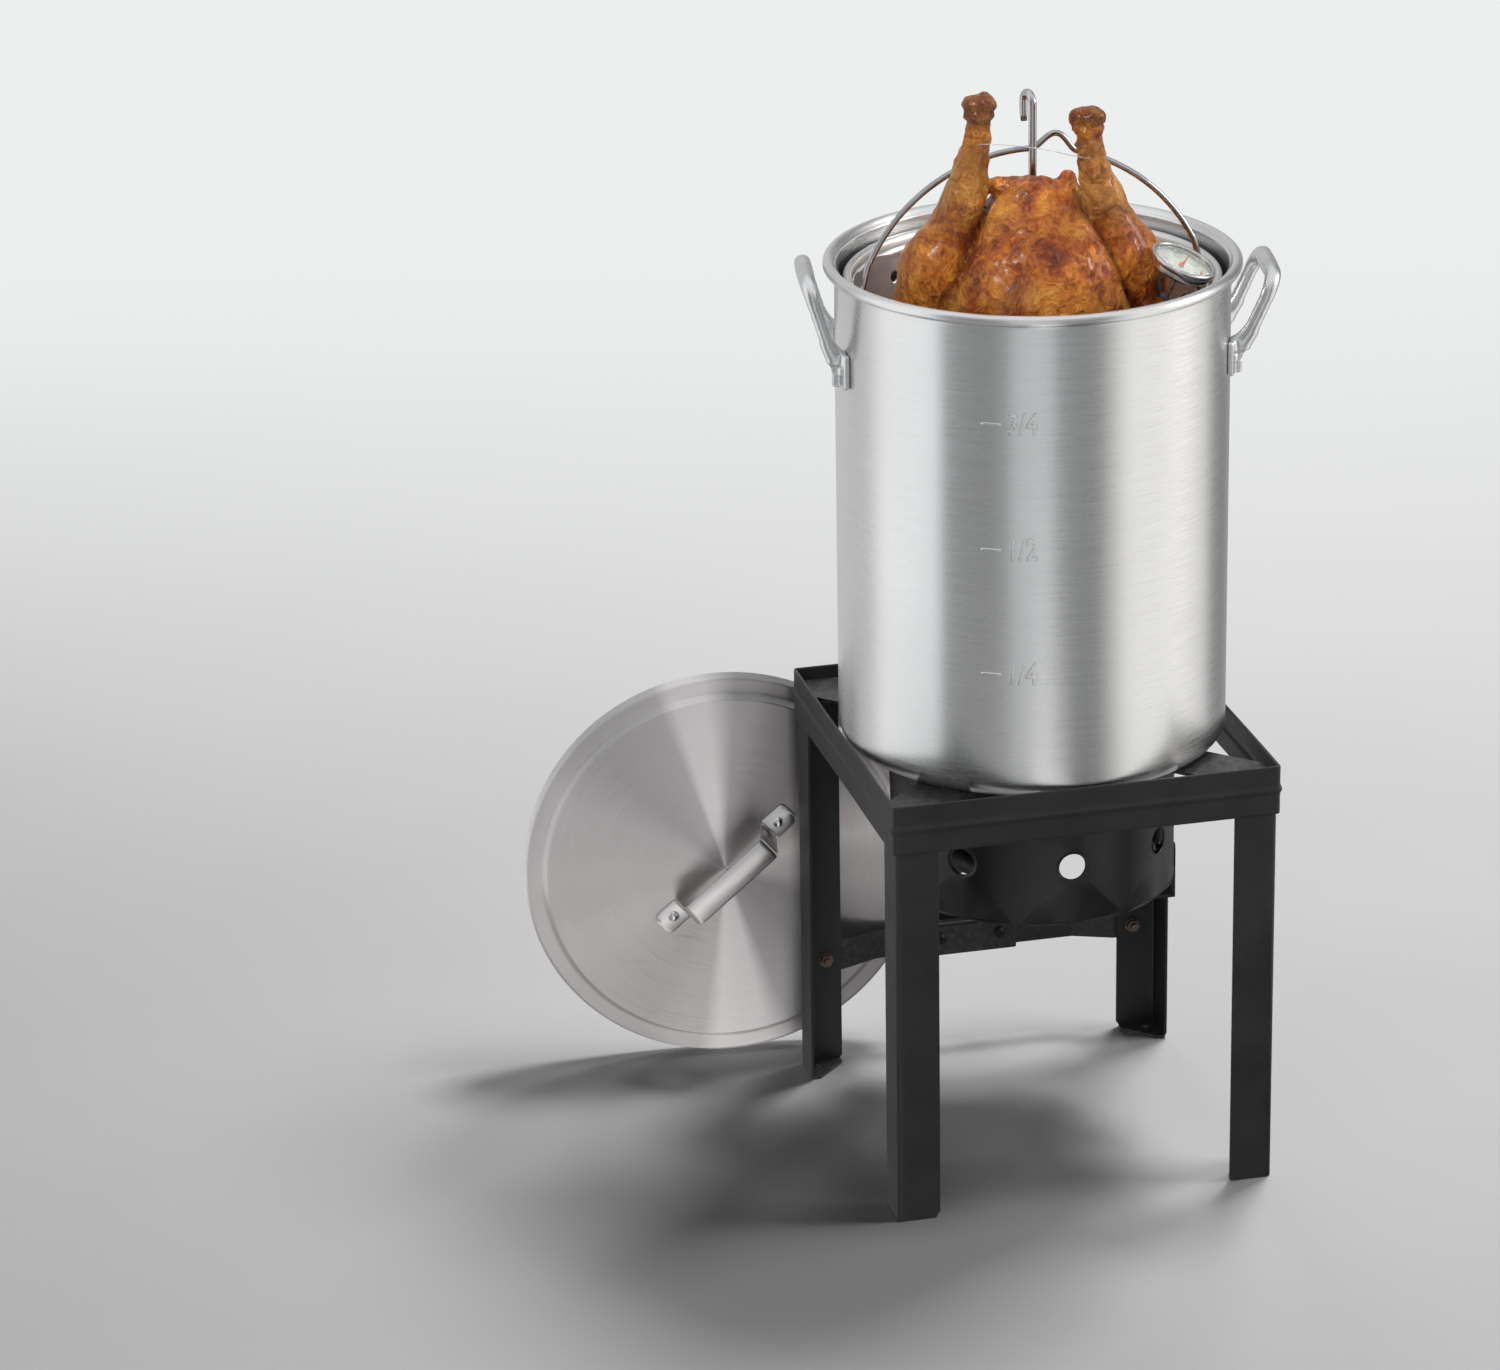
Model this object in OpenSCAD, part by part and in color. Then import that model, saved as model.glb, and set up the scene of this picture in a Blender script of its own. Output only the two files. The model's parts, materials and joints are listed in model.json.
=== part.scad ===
// Outdoor turkey fryer kit: square sheet-steel burner stand, tall aluminium
// stock pot, perforated lift-out basket, poultry rack with the bird on it,
// stem thermometer, and a lid standing behind the stand.
// Millimetres. The origin is on the floor under the centre of the stand,
// X and Y run along the stand's sides (front is -Y), +Z is up.

/* [Stand] */
// Outside width of the square top band
stand_w = 318; // [314:1:340]
// Height of the band's top edge above the floor
stand_h = 359; // [350:1:380]
// Height of the top band
band_h = 40; // [36:1:44]
// Sheet thickness of the top band
band_t = 2.4; // [2:0.1:2.6]
// Flange width of the angle-section legs
leg_w = 35; // [30:1:40]
// Sheet thickness of the legs
leg_t = 2.2; // [1.8:0.1:2.6]
// Diameter of the hole in each foot plate
foot_hole_d = 7; // [6:0.5:9]
// Distance of each foot hole from the stand's middle planes
foot_hole_xy = 144; // [142:1:146]
// Width of the four flat bars that carry the pot
bar_w = 48; // [36:1:52]
// Thickness of the bars
bar_t = 3; // [2.5:0.5:4]

/* [Windshield and burner] */
// Outside radius of the windshield ring
ring_r = 116; // [112:1:120]
// Height of the ring's bottom edge
ring_z = 225; // [222:1:228]
// Number of air holes round the ring
ring_holes = 8; // [8:8:16]
// Diameter of the air holes
ring_hole_d = 22; // [16:1:26]
// Radius of the cast burner head
burner_r = 36; // [34:1:40]
// Number of flame ports
burner_ports = 24; // [12:4:32]
// Resting angle of the air shutter
shutter_angle = 0; // [0:5:60]

/* [Pot] */
// Outside radius of the pot wall
pot_r = 156; // [150:1:156]
// Height of the pot from base to rim
pot_h = 400; // [396:1:410]
// Wall thickness of the pot
pot_t = 2; // [1.5:0.1:2.5]
// Turn of the pot's handles about the upright axis
pot_turn = -10; // [-30:1:10]
// Height of the handle rivets below the pot rim
handle_drop = 77; // [70:1:90]
// Half the distance between the two feet of one handle
handle_half = 40; // [34:1:44]

/* [Basket] */
// Outside radius of the basket wall
basket_r = 143; // [140:1:144]
// Height of the basket
basket_h = 384; // [380:1:388]
// Sheet thickness of the basket
basket_t = 1.5; // [1.2:0.1:1.8]
// Diameter of the perforations
perf_d = 9; // [6:1:12]
// Perforations round one row of the wall
perf_n = 18; // [12:2:20]
// Rows of perforations up the wall
perf_rows = 6; // [3:1:7]
// Diameter of the bail wire
bail_d = 5; // [4:0.5:5]
// How far the standing bail leans back from upright
bail_lean = 5; // [4:0.5:7]

/* [Rack and bird] */
// Diameter of the rack's upright rod
rod_d = 6.4; // [5:0.2:7]
// Height of the top of the rod's hook above the floor
hook_top = 880; // [872:1:890]
// Turn of the bird and its rack about the rod
bird_turn = -15; // [-25:1:-5]

/* [Thermometer] */
// Radius of the dial case
dial_r = 25; // [22:0.5:26]
// Length of the stem below the case
stem_l = 140; // [120:5:150]
// Diameter of the stem
stem_d = 3; // [2.5:0.1:3]

/* [Lid] */
// Outside radius of the lid
lid_r = 169; // [168:0.5:172]
// Depth of the lid's skirt
lid_skirt = 14; // [10:1:16]

/* [Hidden] */
$fn = 64;

black = [0.07, 0.07, 0.08];
alu = [0.78, 0.79, 0.80];
steel = [0.70, 0.71, 0.73];
dark = [0.25, 0.22, 0.20];
cast_iron = [0.16, 0.15, 0.15];
brass = [0.72, 0.56, 0.28];

// Stack of heights, and the stand's faces
half_w = stand_w / 2;
inner = half_w - band_t;      // inside face of the band, outside face of the legs
pot_z = stand_h - 11;         // underside of the pot
bar_z = pot_z - bar_t;        // underside of the bars
pot_rim_z = pot_z + pot_h;
pot_floor = 2.5;
basket_z = pot_z + pot_floor + 0.2;
basket_rim_z = basket_z + basket_h;
pivot_z = basket_rim_z - 13;  // bail pivots
rack_z = basket_z + basket_t + 0.3;
bail_r = bail_d / 2;
rod_r = rod_d / 2;
stem_r = stem_d / 2;

// ---------- helpers ----------
// Moves children to a point and lays their +Z along +X or +Y
module along_x(at = [0, 0, 0]) {
  translate(at) rotate([0, 90, 0]) children();
}
module along_y(at = [0, 0, 0]) {
  translate(at) rotate([-90, 0, 0]) children();
}
// As built, and turned half way round the upright axis
module both_ways() {
  for (turn = [0, 180]) rotate([0, 0, turn]) children();
}
// As built, and mirrored to the -X side
module both_sides() {
  for (m = [0, 1]) mirror([m, 0, 0]) children();
}
// Moves children from the back right corner to the corner with the given signs
module corner(side_x, side_y) {
  mirror([side_x < 0 ? 1 : 0, 0, 0]) mirror([0, side_y < 0 ? 1 : 0, 0]) children();
}
module rounded_plate(w, h, t, r) {
  linear_extrude(t) union() {
    translate([-w / 2 + r, -h / 2]) square([w - 2 * r, h]);
    translate([-w / 2, -h / 2 + r]) square([w, h - 2 * r]);
    for (x = [-1, 1], y = [-1, 1])
      translate([x * (w / 2 - r), y * (h / 2 - r)]) circle(r, $fn = 32);
  }
}
// Cross-recess pan-head screw along +Y; the head's underside is at y = 0
module screw_y(d, head_r, head_h, len) {
  slot_w = 0.8;
  along_y() cylinder(r = d / 2, h = len, $fn = 32);
  difference() {
    rotate([90, 0, 0]) union() {
      cylinder(r = head_r, h = head_h * 0.5, $fn = 48);
      translate([0, 0, head_h * 0.5])
        cylinder(r1 = head_r, r2 = head_r * 0.62, h = head_h * 0.5, $fn = 48);
    }
    translate([-head_r * 0.5, -head_h - 1, -slot_w / 2]) cube([head_r, 1.7, slot_w]);
    translate([-slot_w / 2, -head_h - 1, -head_r * 0.5]) cube([slot_w, 1.7, head_r]);
  }
}
// Half section of a round vessel with a rounded bottom corner. The wall stops
// short of the top by rim_gap; children are the rim.
module vessel_profile(r, h, t, floor_t, corner_r, rim_gap, corner_fn) {
  corner_x = r - corner_r;
  inner_z = floor_t + corner_r - t;
  difference() {
    union() {
      square([corner_x, h * 0.5]);
      translate([corner_x, corner_r]) circle(corner_r, $fn = corner_fn);
      translate([0, corner_r]) square([r, h - corner_r - rim_gap]);
      children();
    }
    translate([-1, inner_z]) square([r - t + 1, h]);
    translate([-1, floor_t]) square([corner_x + 1, h]);
    translate([corner_x, inner_z]) circle(corner_r - t, $fn = corner_fn);
    // nothing on the far side of the axis
    translate([-400, -1]) square([400, h + 10]);
  }
}

// ---------- stand ----------
bolt_x = 135;                 // strap bolts, either side
bolt_z = 94.5;
bolt_hole_r = 3.1;

module top_band() {
  bead_out = 0.8;
  bead_h = 3.2;
  bead_w = stand_w + 2 * bead_out;
  color(black) difference() {
    union() {
      translate([-half_w, -half_w, stand_h - band_h]) cube([stand_w, stand_w, band_h]);
      // pressed bead half way up the band
      translate([-bead_w / 2, -bead_w / 2, stand_h - band_h / 2 - bead_h / 2])
        cube([bead_w, bead_w, bead_h]);
    }
    translate([-inner, -inner, stand_h - band_h - 1]) cube([2 * inner, 2 * inner, band_h + 2]);
  }
}

// Angle section in a corner, rounded at the floor end of both flanges
module leg(side_x, side_y) {
  edge = inner - leg_w;
  round_r = 5;
  corner(side_x, side_y) color(black) difference() {
    translate([edge, edge, 0]) cube([leg_w, leg_w, bar_z]);
    translate([edge - 1, edge - 1, -1])
      cube([leg_w + 1 - leg_t, leg_w + 1 - leg_t, bar_z + 2]);
    along_y([edge, inner - leg_t - 1, 0]) difference() {
      translate([-1, -round_r, 0]) cube([round_r + 1, round_r + 1, leg_t + 2]);
      translate([round_r, -round_r, -1]) cylinder(r = round_r, h = leg_t + 4, $fn = 32);
    }
    along_x([inner - leg_t - 1, edge, 0]) difference() {
      translate([-round_r, -1, 0]) cube([round_r + 1, round_r + 1, leg_t + 2]);
      translate([-round_r, round_r, -1]) cylinder(r = round_r, h = leg_t + 4, $fn = 32);
    }
    // clearance hole for the strap bolt in the back legs
    if (side_y > 0) along_y([bolt_x, inner - leg_t - 1, bolt_z])
      cylinder(r = bolt_hole_r, h = leg_t + 2, $fn = 32);
  }
}

// Triangular plates with cut-off points inside the feet of the legs
module foot_plates() {
  face = inner - leg_t;
  far = face - 31;
  near = face - 6;
  color(black) for (side_x = [1, -1], side_y = [1, -1]) corner(side_x, side_y) difference() {
    linear_extrude(2.2)
      polygon([[face, face], [far, face], [far, near], [near, far], [face, far]]);
    translate([foot_hole_xy, foot_hole_xy, -1]) cylinder(r = foot_hole_d / 2, h = 5, $fn = 48);
  }
}

// Diagonal bars from the corners inward, trimmed to the inside of the band
module pot_support_bars() {
  bar_in = 56;                // inner ends, from the centre
  color(black) for (turn = [45, 135, 225, 315]) intersection() {
    rotate([0, 0, turn]) translate([bar_in, -bar_w / 2, bar_z])
      cube([half_w * 1.5, bar_w, bar_t - 0.05]);
    translate([-inner, -inner, bar_z - 1]) cube([2 * inner, 2 * inner, bar_t + 2]);
  }
}

// ---------- windshield and burner ----------
burner_z = 194;               // top of the burner bracket
bracket_t = 3;
bracket_x = ring_r + 3.2;     // outside face of the bracket's arms
screw_z = 231.5;              // screws joining bracket and ring
screw_r = 2.5;
screw_hole_r = 2.6;
tube_z = burner_z + 9;        // axis of the mixing tube
tube_turn = atan2(5, 12);     // turn of the tube from straight back toward the left
// stations along the tube, from the burner's axis
taper_y = burner_r + 50;
mixer_y = taper_y + 16;
mixer_end = mixer_y + 44;     // outer face of the end wall
taper_h = mixer_y - taper_y;
spud_r = 5.05;
window_x = 11;                // air windows, either side of the tube's axis
window_r = 4.2;

// Frame with +Y along the mixing tube's axis
module place_tube() {
  rotate([0, 0, tube_turn]) translate([0, 0, tube_z]) children();
}

module windshield_ring() {
  ring_h = bar_z - ring_z;
  color(black) difference() {
    translate([0, 0, ring_z]) difference() {
      cylinder(r = ring_r, h = ring_h, $fn = 128);
      translate([0, 0, -1]) cylinder(r = ring_r - 1.6, h = ring_h + 2, $fn = 128);
    }
    for (k = [0 : ring_holes - 1]) rotate([0, 0, k * 360 / ring_holes])
      along_x([ring_r - 8, 0, 273.5]) cylinder(r = ring_hole_d / 2, h = 16, $fn = 48);
    both_sides() along_x([ring_r - 8, 0, screw_z]) cylinder(r = screw_hole_r, h = 16, $fn = 32);
  }
}

// Flat strip under the burner, its arms turned up outside the ring
module burner_bracket() {
  width = 25;
  round_r = 5;                // top corners of the arms
  round_z = burner_z + 38;
  round_y = width / 2 - round_r;
  arm_x = bracket_x - bracket_t;
  under_z = burner_z - bracket_t;
  color(black) difference() {
    union() {
      translate([-bracket_x, -width / 2, under_z]) cube([2 * bracket_x, width, bracket_t]);
      both_sides() {
        translate([arm_x, -width / 2, under_z]) cube([bracket_t, width, round_z - under_z]);
        translate([arm_x, -round_y, round_z]) cube([bracket_t, 2 * round_y, round_r]);
        for (y = [-round_y, round_y]) along_x([arm_x, y, round_z])
          cylinder(r = round_r, h = bracket_t, $fn = 32);
      }
    }
    both_sides() along_x([bracket_x - 5, 0, screw_z])
      cylinder(r = screw_hole_r, h = 8, $fn = 32);
    translate([0, 0, burner_z - 5]) cylinder(r = 4.2, h = 8, $fn = 32);
  }
}

// Head outside the bracket arm, nut inside the ring
module ring_screws() {
  color(dark) both_ways() translate([0, 0, screw_z]) {
    translate([bracket_x, 0, 0]) rotate([0, 0, 90])
      screw_y(d = 2 * screw_r, head_r = 4.6, head_h = 3, len = 14);
    difference() {
      along_x([ring_r - 6.2, 0, 0]) cylinder(r = 4.6, h = 4.4, $fn = 6);
      along_x([ring_r - 8, 0, 0]) cylinder(r = screw_r, h = 8, $fn = 32);
    }
  }
}

// Head, boss and mixing tube are one iron casting
module burner_casting() {
  color(cast_iron) difference() {
    union() {
      translate([0, 0, burner_z + 3]) cylinder(r = burner_r, h = 9, $fn = 96);
      translate([0, 0, burner_z + 12])
        cylinder(r1 = burner_r, r2 = burner_r - 8, h = 6, $fn = 96);
      translate([0, 0, burner_z]) cylinder(r = 13, h = 4, $fn = 48);
      place_tube() {
        along_y([0, burner_r - 6, 0]) cylinder(r = 9.4, h = 58);
        along_y([0, taper_y, 0]) cylinder(r1 = 9.4, r2 = 18, h = taper_h);
        along_y([0, mixer_y, 0]) cylinder(r = 18, h = mixer_end - mixer_y);
      }
    }
    // gas chamber, round a solid core
    difference() {
      translate([0, 0, burner_z + 6]) cylinder(r = burner_r - 5, h = 7, $fn = 96);
      translate([0, 0, burner_z + 5]) cylinder(r = 11, h = 9, $fn = 48);
    }
    place_tube() {
      // bore
      along_y([0, 20, 0]) cylinder(r = 6, h = taper_y + 4 - 20);
      along_y([0, taper_y, 0]) cylinder(r1 = 6, r2 = 15.5, h = taper_h);
      along_y([0, mixer_y - 0.1, 0]) cylinder(r = 15.5, h = 40.1);
      // end wall: spud hole and two air windows
      along_y([0, mixer_end - 6, 0]) cylinder(r = spud_r, h = 8, $fn = 48);
      for (x = [-window_x, window_x]) along_y([x, mixer_end - 6, 0])
        cylinder(r = window_r, h = 8, $fn = 32);
    }
    // flame ports through the crown
    flame_ports(burner_ports, burner_r - 11, 0.5);
    flame_ports(burner_ports / 2, burner_r - 19, 0);
    // tapped hole for the mounting bolt
    translate([0, 0, burner_z - 1]) cylinder(r = 4, h = 12, $fn = 32);
  }
}
// One circle of ports, started off by a part of its pitch
module flame_ports(count, circle_r, offset) {
  for (k = [0 : count - 1]) rotate([0, 0, (k + offset) * 360 / count])
    translate([circle_r, 0, burner_z + 10]) cylinder(r = 1.2, h = 14, $fn = 16);
}

module burner_bolt() {
  head_h = 5.3;
  under_z = burner_z - bracket_t;
  color(dark) {
    translate([0, 0, under_z - head_h]) cylinder(r = 7.5, h = head_h, $fn = 6);
    translate([0, 0, under_z]) cylinder(r = 4, h = 12, $fn = 32);
  }
}

module orifice_fitting() {
  hex_y = mixer_end + 2.1;    // clear of the air shutter
  body_y = hex_y + 8;
  color(brass) place_tube() difference() {
    union() {
      along_y([0, mixer_end - 12, 0]) cylinder(r = spud_r, h = 14.1, $fn = 48);
      along_y([0, hex_y, 0]) cylinder(r = 10, h = 8, $fn = 6);
      along_y([0, body_y, 0]) cylinder(r = 7.9, h = 14);
      along_y([0, body_y + 14, 0]) cylinder(r1 = 7.9, r2 = 4.4, h = 3.5);
    }
    // gas passage and the fine orifice at its inner end
    along_y([0, mixer_end - 8, 0]) cylinder(r = 2.6, h = 40, $fn = 32);
    along_y([0, mixer_end - 14, 0]) cylinder(r = 0.7, h = 10, $fn = 16);
  }
}

module air_shutter() {
  face_y = mixer_end + 0.3;
  t = 1.5;
  color(steel) place_tube() rotate([0, shutter_angle, 0]) difference() {
    union() {
      along_y([0, face_y, 0]) cylinder(r = 20.5, h = t);
      // bent thumb tab
      translate([-5, face_y, 18]) cube([10, t, 8]);
      translate([-5, face_y, 24.5]) cube([10, 8, t]);
    }
    along_y([0, mixer_end - 1, 0]) cylinder(r = 5.12, h = 5, $fn = 48);
    for (x = [-window_x, window_x]) along_y([x, mixer_end - 1, 0])
      cylinder(r = window_r, h = 5, $fn = 32);
  }
}

// ---------- back strap ----------
strap_z = 83;                 // underside
strap_h = 25;
strap_t = 2;
strap_mid_z = strap_z + strap_h / 2;
bow_y = inner + 13.5;         // front face of the bowed middle
plate_x = -5;                 // middle of the plate
plate_t = 2;
plate_hole_x = 26;            // screws, either side of the plate's middle

// Strap across the back legs, its middle bowed out to the back
module back_strap() {
  end_x = 149;
  bend_x = 119;
  bow_x = 86;
  color(black) difference() {
    // outline seen from above: front face left to right, then back face
    translate([0, 0, strap_z]) linear_extrude(strap_h) polygon([
      [-end_x, inner], [-bend_x, inner], [-bow_x, bow_y],
      [bow_x, bow_y], [bend_x, inner], [end_x, inner],
      [end_x, inner + strap_t], [bend_x - 1, inner + strap_t], [bow_x - 1, bow_y + strap_t],
      [1 - bow_x, bow_y + strap_t], [1 - bend_x, inner + strap_t], [-end_x, inner + strap_t]]);
    for (x = [-bolt_x, bolt_x]) along_y([x, inner - 1, bolt_z])
      cylinder(r = bolt_hole_r, h = 5, $fn = 32);
    for (side = [-1, 1]) along_y([plate_x + side * plate_hole_x, bow_y - 1, strap_mid_z])
      cylinder(r = screw_hole_r, h = 5, $fn = 32);
  }
}

// Plate against the front of the bowed middle, set a little low
module strap_plate() {
  drop = 3;
  color(black) translate([plate_x, bow_y, strap_mid_z - drop]) difference() {
    rotate([90, 0, 0]) rounded_plate(w = 82, h = 25, t = plate_t, r = 1.5);
    for (side = [-1, 1]) along_y([side * plate_hole_x, -3, drop])
      cylinder(r = screw_hole_r, h = 5, $fn = 32);
  }
}

module strap_bolts() {
  color(dark) for (x = [-bolt_x, bolt_x]) {
    along_y([x, inner + strap_t, bolt_z]) cylinder(r = 5.6, h = 4, $fn = 6);
    along_y([x, inner - leg_t - 8, bolt_z]) cylinder(r = 3, h = leg_t + 10.2, $fn = 32);
  }
}

// Flanged nuts inside the back legs
module strap_nuts() {
  color(dark) for (x = [-bolt_x, bolt_x]) along_y([x, inner - leg_t - 5, bolt_z]) difference() {
    union() {
      cylinder(r = 5.6, h = 4, $fn = 6);
      translate([0, 0, 4]) cylinder(r = 6.2, h = 1, $fn = 48);
    }
    translate([0, 0, -1]) cylinder(r = 3, h = 8, $fn = 32);
  }
}

// Screws through plate and strap, each with its nut behind
module plate_screws() {
  color(dark) for (side = [-1, 1])
    translate([plate_x + side * plate_hole_x, bow_y - plate_t, strap_mid_z]) {
      screw_y(d = 2 * screw_r, head_r = 4.8, head_h = 3.2, len = 9);
      along_y([0, plate_t + strap_t, 0]) difference() {
        cylinder(r = 4.6, h = 4, $fn = 6);
        translate([0, 0, -1]) cylinder(r = screw_r, h = 7, $fn = 32);
      }
    }
}

// ---------- pot ----------
handle_z = pot_rim_z - handle_drop;
foot_angle = asin(handle_half / pot_r);
handle_rivet_r = 3;

// Radial frames at the two feet of the right handle, z = 0 at the rivets
module at_feet() {
  for (side = [-1, 1]) rotate([0, 0, side * foot_angle]) translate([0, 0, handle_z]) children();
}

module pot_shell() {
  color(alu) difference() {
    translate([0, 0, pot_z]) rotate_extrude($fn = 180)
      vessel_profile(r = pot_r, h = pot_h, t = pot_t, floor_t = pot_floor,
          corner_r = 15, rim_gap = 4, corner_fn = 64) {
        // rolled rim and its web to the wall
        translate([pot_r + 4.2, pot_h - 4.6]) circle(4.6, $fn = 48);
        translate([pot_r - pot_t, pot_h - 6]) square([pot_t + 2, 5]);
      }
    rotate([0, 0, pot_turn]) both_ways() at_feet() along_x([pot_r - 12, 0, 0])
      cylinder(r = handle_rivet_r, h = 24, $fn = 32);
  }
}

// Cast loop handle on the +X side of the pot
module handle() {
  rise = 70;                  // grip above the rivets
  reach = 27 - 4;             // grip out from the foot of the arms
  wire_r = 6;
  bend_r = 20;
  length = norm([rise, reach]);
  tilt = atan2(reach, rise);
  bend_z = length - bend_r;
  grip_half = handle_half - bend_r;
  difference() {
    union() {
      // loop: two arms, two bends and the grip, in a tilted plane
      translate([pot_r * cos(foot_angle) + 5, 0, handle_z]) rotate([0, tilt, 0]) {
        for (side = [-1, 1]) {
          translate([0, side * handle_half, 4]) cylinder(r = wire_r, h = bend_z - 4, $fn = 40);
          translate([0, side * handle_half, bend_z]) sphere(wire_r, $fn = 40);
          translate([0, side * grip_half, bend_z]) rotate([90, 0, side * 90])
            rotate_extrude(angle = 90, $fn = 64)
              translate([bend_r, 0]) circle(wire_r, $fn = 40);
          translate([0, side * grip_half, length]) sphere(wire_r, $fn = 40);
        }
        along_y([0, -grip_half, length]) cylinder(r = wire_r, h = 2 * grip_half, $fn = 40);
      }
      // feet against the wall, each with its raised outer edge
      at_feet() {
        translate([pot_r - 2, -9, -13]) cube([6.5, 18, 27]);
        translate([pot_r + 2, -9, 2]) rotate([0, tilt, 0]) cube([6, 18, 14]);
      }
    }
    // the back of the feet follows the pot wall
    translate([0, 0, handle_z - 60]) cylinder(r = pot_r, h = 120, $fn = 180);
    at_feet() {
      along_x([pot_r - 12, 0, 0]) cylinder(r = handle_rivet_r, h = 60, $fn = 32);
      // seat cleared for the rivet head
      along_x([pot_r + 4.5, 0, 0]) cylinder(r = 6.6, h = 30, $fn = 40);
    }
  }
}
module pot_handle_right() {
  color(alu) rotate([0, 0, pot_turn]) handle();
}
module pot_handle_left() {
  color(alu) rotate([0, 0, pot_turn + 180]) handle();
}

module handle_rivets() {
  wall = pot_r - pot_t;
  color(alu) rotate([0, 0, pot_turn]) both_ways() at_feet() along_x() {
    translate([0, 0, wall - 1.2]) cylinder(r = 5, h = 1, $fn = 40);
    translate([0, 0, wall - 1]) cylinder(r = handle_rivet_r, h = 8, $fn = 32);
    translate([0, 0, pot_r + 4.5]) cylinder(r1 = 5.4, r2 = 3.4, h = 3, $fn = 40);
  }
}

// ---------- basket ----------
ear_rivet_r = 1.6;

// Radial frames at the two rivets of the right ear, +Z outward
module at_ear_rivets() {
  for (side = [-1, 1]) rotate([0, 0, side * 3.4]) along_x([0, 0, pivot_z - 10]) children();
}
// Pivot hole and rivet holes through the right ear and the wall behind it
module ear_holes() {
  along_x([basket_r - 8, 0, pivot_z]) cylinder(r = bail_r + 0.08, h = 12, $fn = 40);
  at_ear_rivets() translate([0, 0, basket_r - 8]) cylinder(r = ear_rivet_r, h = 12, $fn = 24);
}

module basket_shell() {
  row_pitch = (basket_h - 70) / (perf_rows - 1);
  color(alu) difference() {
    translate([0, 0, basket_z]) rotate_extrude($fn = 160)
      vessel_profile(r = basket_r, h = basket_h, t = basket_t, floor_t = basket_t,
          corner_r = 12, rim_gap = 3, corner_fn = 48) {
        // rolled rim and its web to the wall
        translate([basket_r + 2.6, basket_h - 3.5]) circle(3.5, $fn = 40);
        translate([basket_r - basket_t, basket_h - 5]) square([basket_t + 1, 4.2]);
      }
    // wall perforations in staggered rows
    for (row = [0 : perf_rows - 1], k = [0 : perf_n - 1])
      rotate([0, 0, (k + (row % 2) / 2 + 0.25) * 360 / perf_n])
        along_x([basket_r - 6, 0, basket_rim_z - 32 - row * row_pitch])
          cylinder(r = perf_d / 2, h = 12, $fn = 24);
    // drain holes in three circles
    for (ring = [1 : 3], k = [0 : 6 * ring - 1]) rotate([0, 0, k * 60 / ring + 15])
      translate([ring * 34, 0, basket_z - 2]) cylinder(r = perf_d / 2, h = 6, $fn = 24);
    both_ways() ear_holes();
  }
}

module bail_ears() {
  color(steel) both_ways() difference() {
    translate([0, 0, pivot_z - 16]) rotate_extrude(angle = 11.6, start = -5.8, $fn = 160)
      translate([basket_r, 0]) square([1.6, 22]);
    ear_holes();
  }
}

module ear_rivets() {
  wall = basket_r - basket_t;
  color(alu) both_ways() at_ear_rivets() {
    translate([0, 0, wall - 1]) cylinder(r = 3, h = 0.95, $fn = 32);
    translate([0, 0, wall - 0.5]) cylinder(r = ear_rivet_r, h = 4, $fn = 24);
    translate([0, 0, basket_r + 1.65]) cylinder(r1 = 3, r2 = 2, h = 1.4, $fn = 32);
  }
}

// The bail: two upright legs and a shallow arch with a lifting hump
leg_top = 17;                 // top of the legs above the pivot
bail_x = basket_r - basket_t - bail_r - 1.5;
arch_rise = 832 - pivot_z - leg_top;
arch_r = (bail_x * bail_x + pow(arch_rise, 2)) / (2 * arch_rise);
arch_z = 832 - pivot_z - arch_r;  // centre of the arch above the pivot
arch_start = acos(bail_x / arch_r);
hump_at = 82;                 // direction of the hump from the arch's centre
hump_half = 7.6;              // half its width in degrees
hump_rise = 12;
function bail_radius(angle) = arch_r + (abs(angle - hump_at) < hump_half
  ? hump_rise * pow(cos(90 * (angle - hump_at) / hump_half), 2) : 0);
function bail_point(angle, out) = [(bail_radius(angle) + out) * cos(angle),
  arch_z + (bail_radius(angle) + out) * sin(angle)];

module basket_bail() {
  half = bail_r - 0.25;       // half the side of the square section
  hump_start = hump_at - hump_half;
  hump_end = hump_at + hump_half;
  angles = [
    for (i = [0 : 15]) arch_start + i * (hump_start - arch_start) / 15,
    for (i = [1 : 11]) hump_start + i * 2 * hump_half / 12,
    for (i = [0 : 17]) hump_end + i * (180 - arch_start - hump_end) / 17];
  color(steel) translate([0, 0, pivot_z]) rotate([-bail_lean, 0, 0]) {
    translate([0, half, 0]) rotate([90, 0, 0]) linear_extrude(2 * half) polygon(concat(
      [[bail_x - half, 0], [bail_x + half, 0], [bail_x + half, leg_top]],
      [for (angle = angles) bail_point(angle, half)],
      [[-bail_x - half, leg_top], [-bail_x - half, 0],
       [-bail_x + half, 0], [-bail_x + half, leg_top - 1]],
      [for (i = [len(angles) - 1 : -1 : 0]) bail_point(angles[i], -half)],
      [[bail_x - half, leg_top - 1]]));
    // ends turned outward through the ears, with upset buttons
    both_ways() {
      along_x([bail_x - half, 0, 0])
        cylinder(r = bail_r, h = basket_r + 3.4 - bail_x + half, $fn = 32);
      along_x([basket_r + 2.2, 0, 0]) cylinder(r = bail_r + 1.2, h = 2.2, $fn = 32);
    }
  }
}

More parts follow.
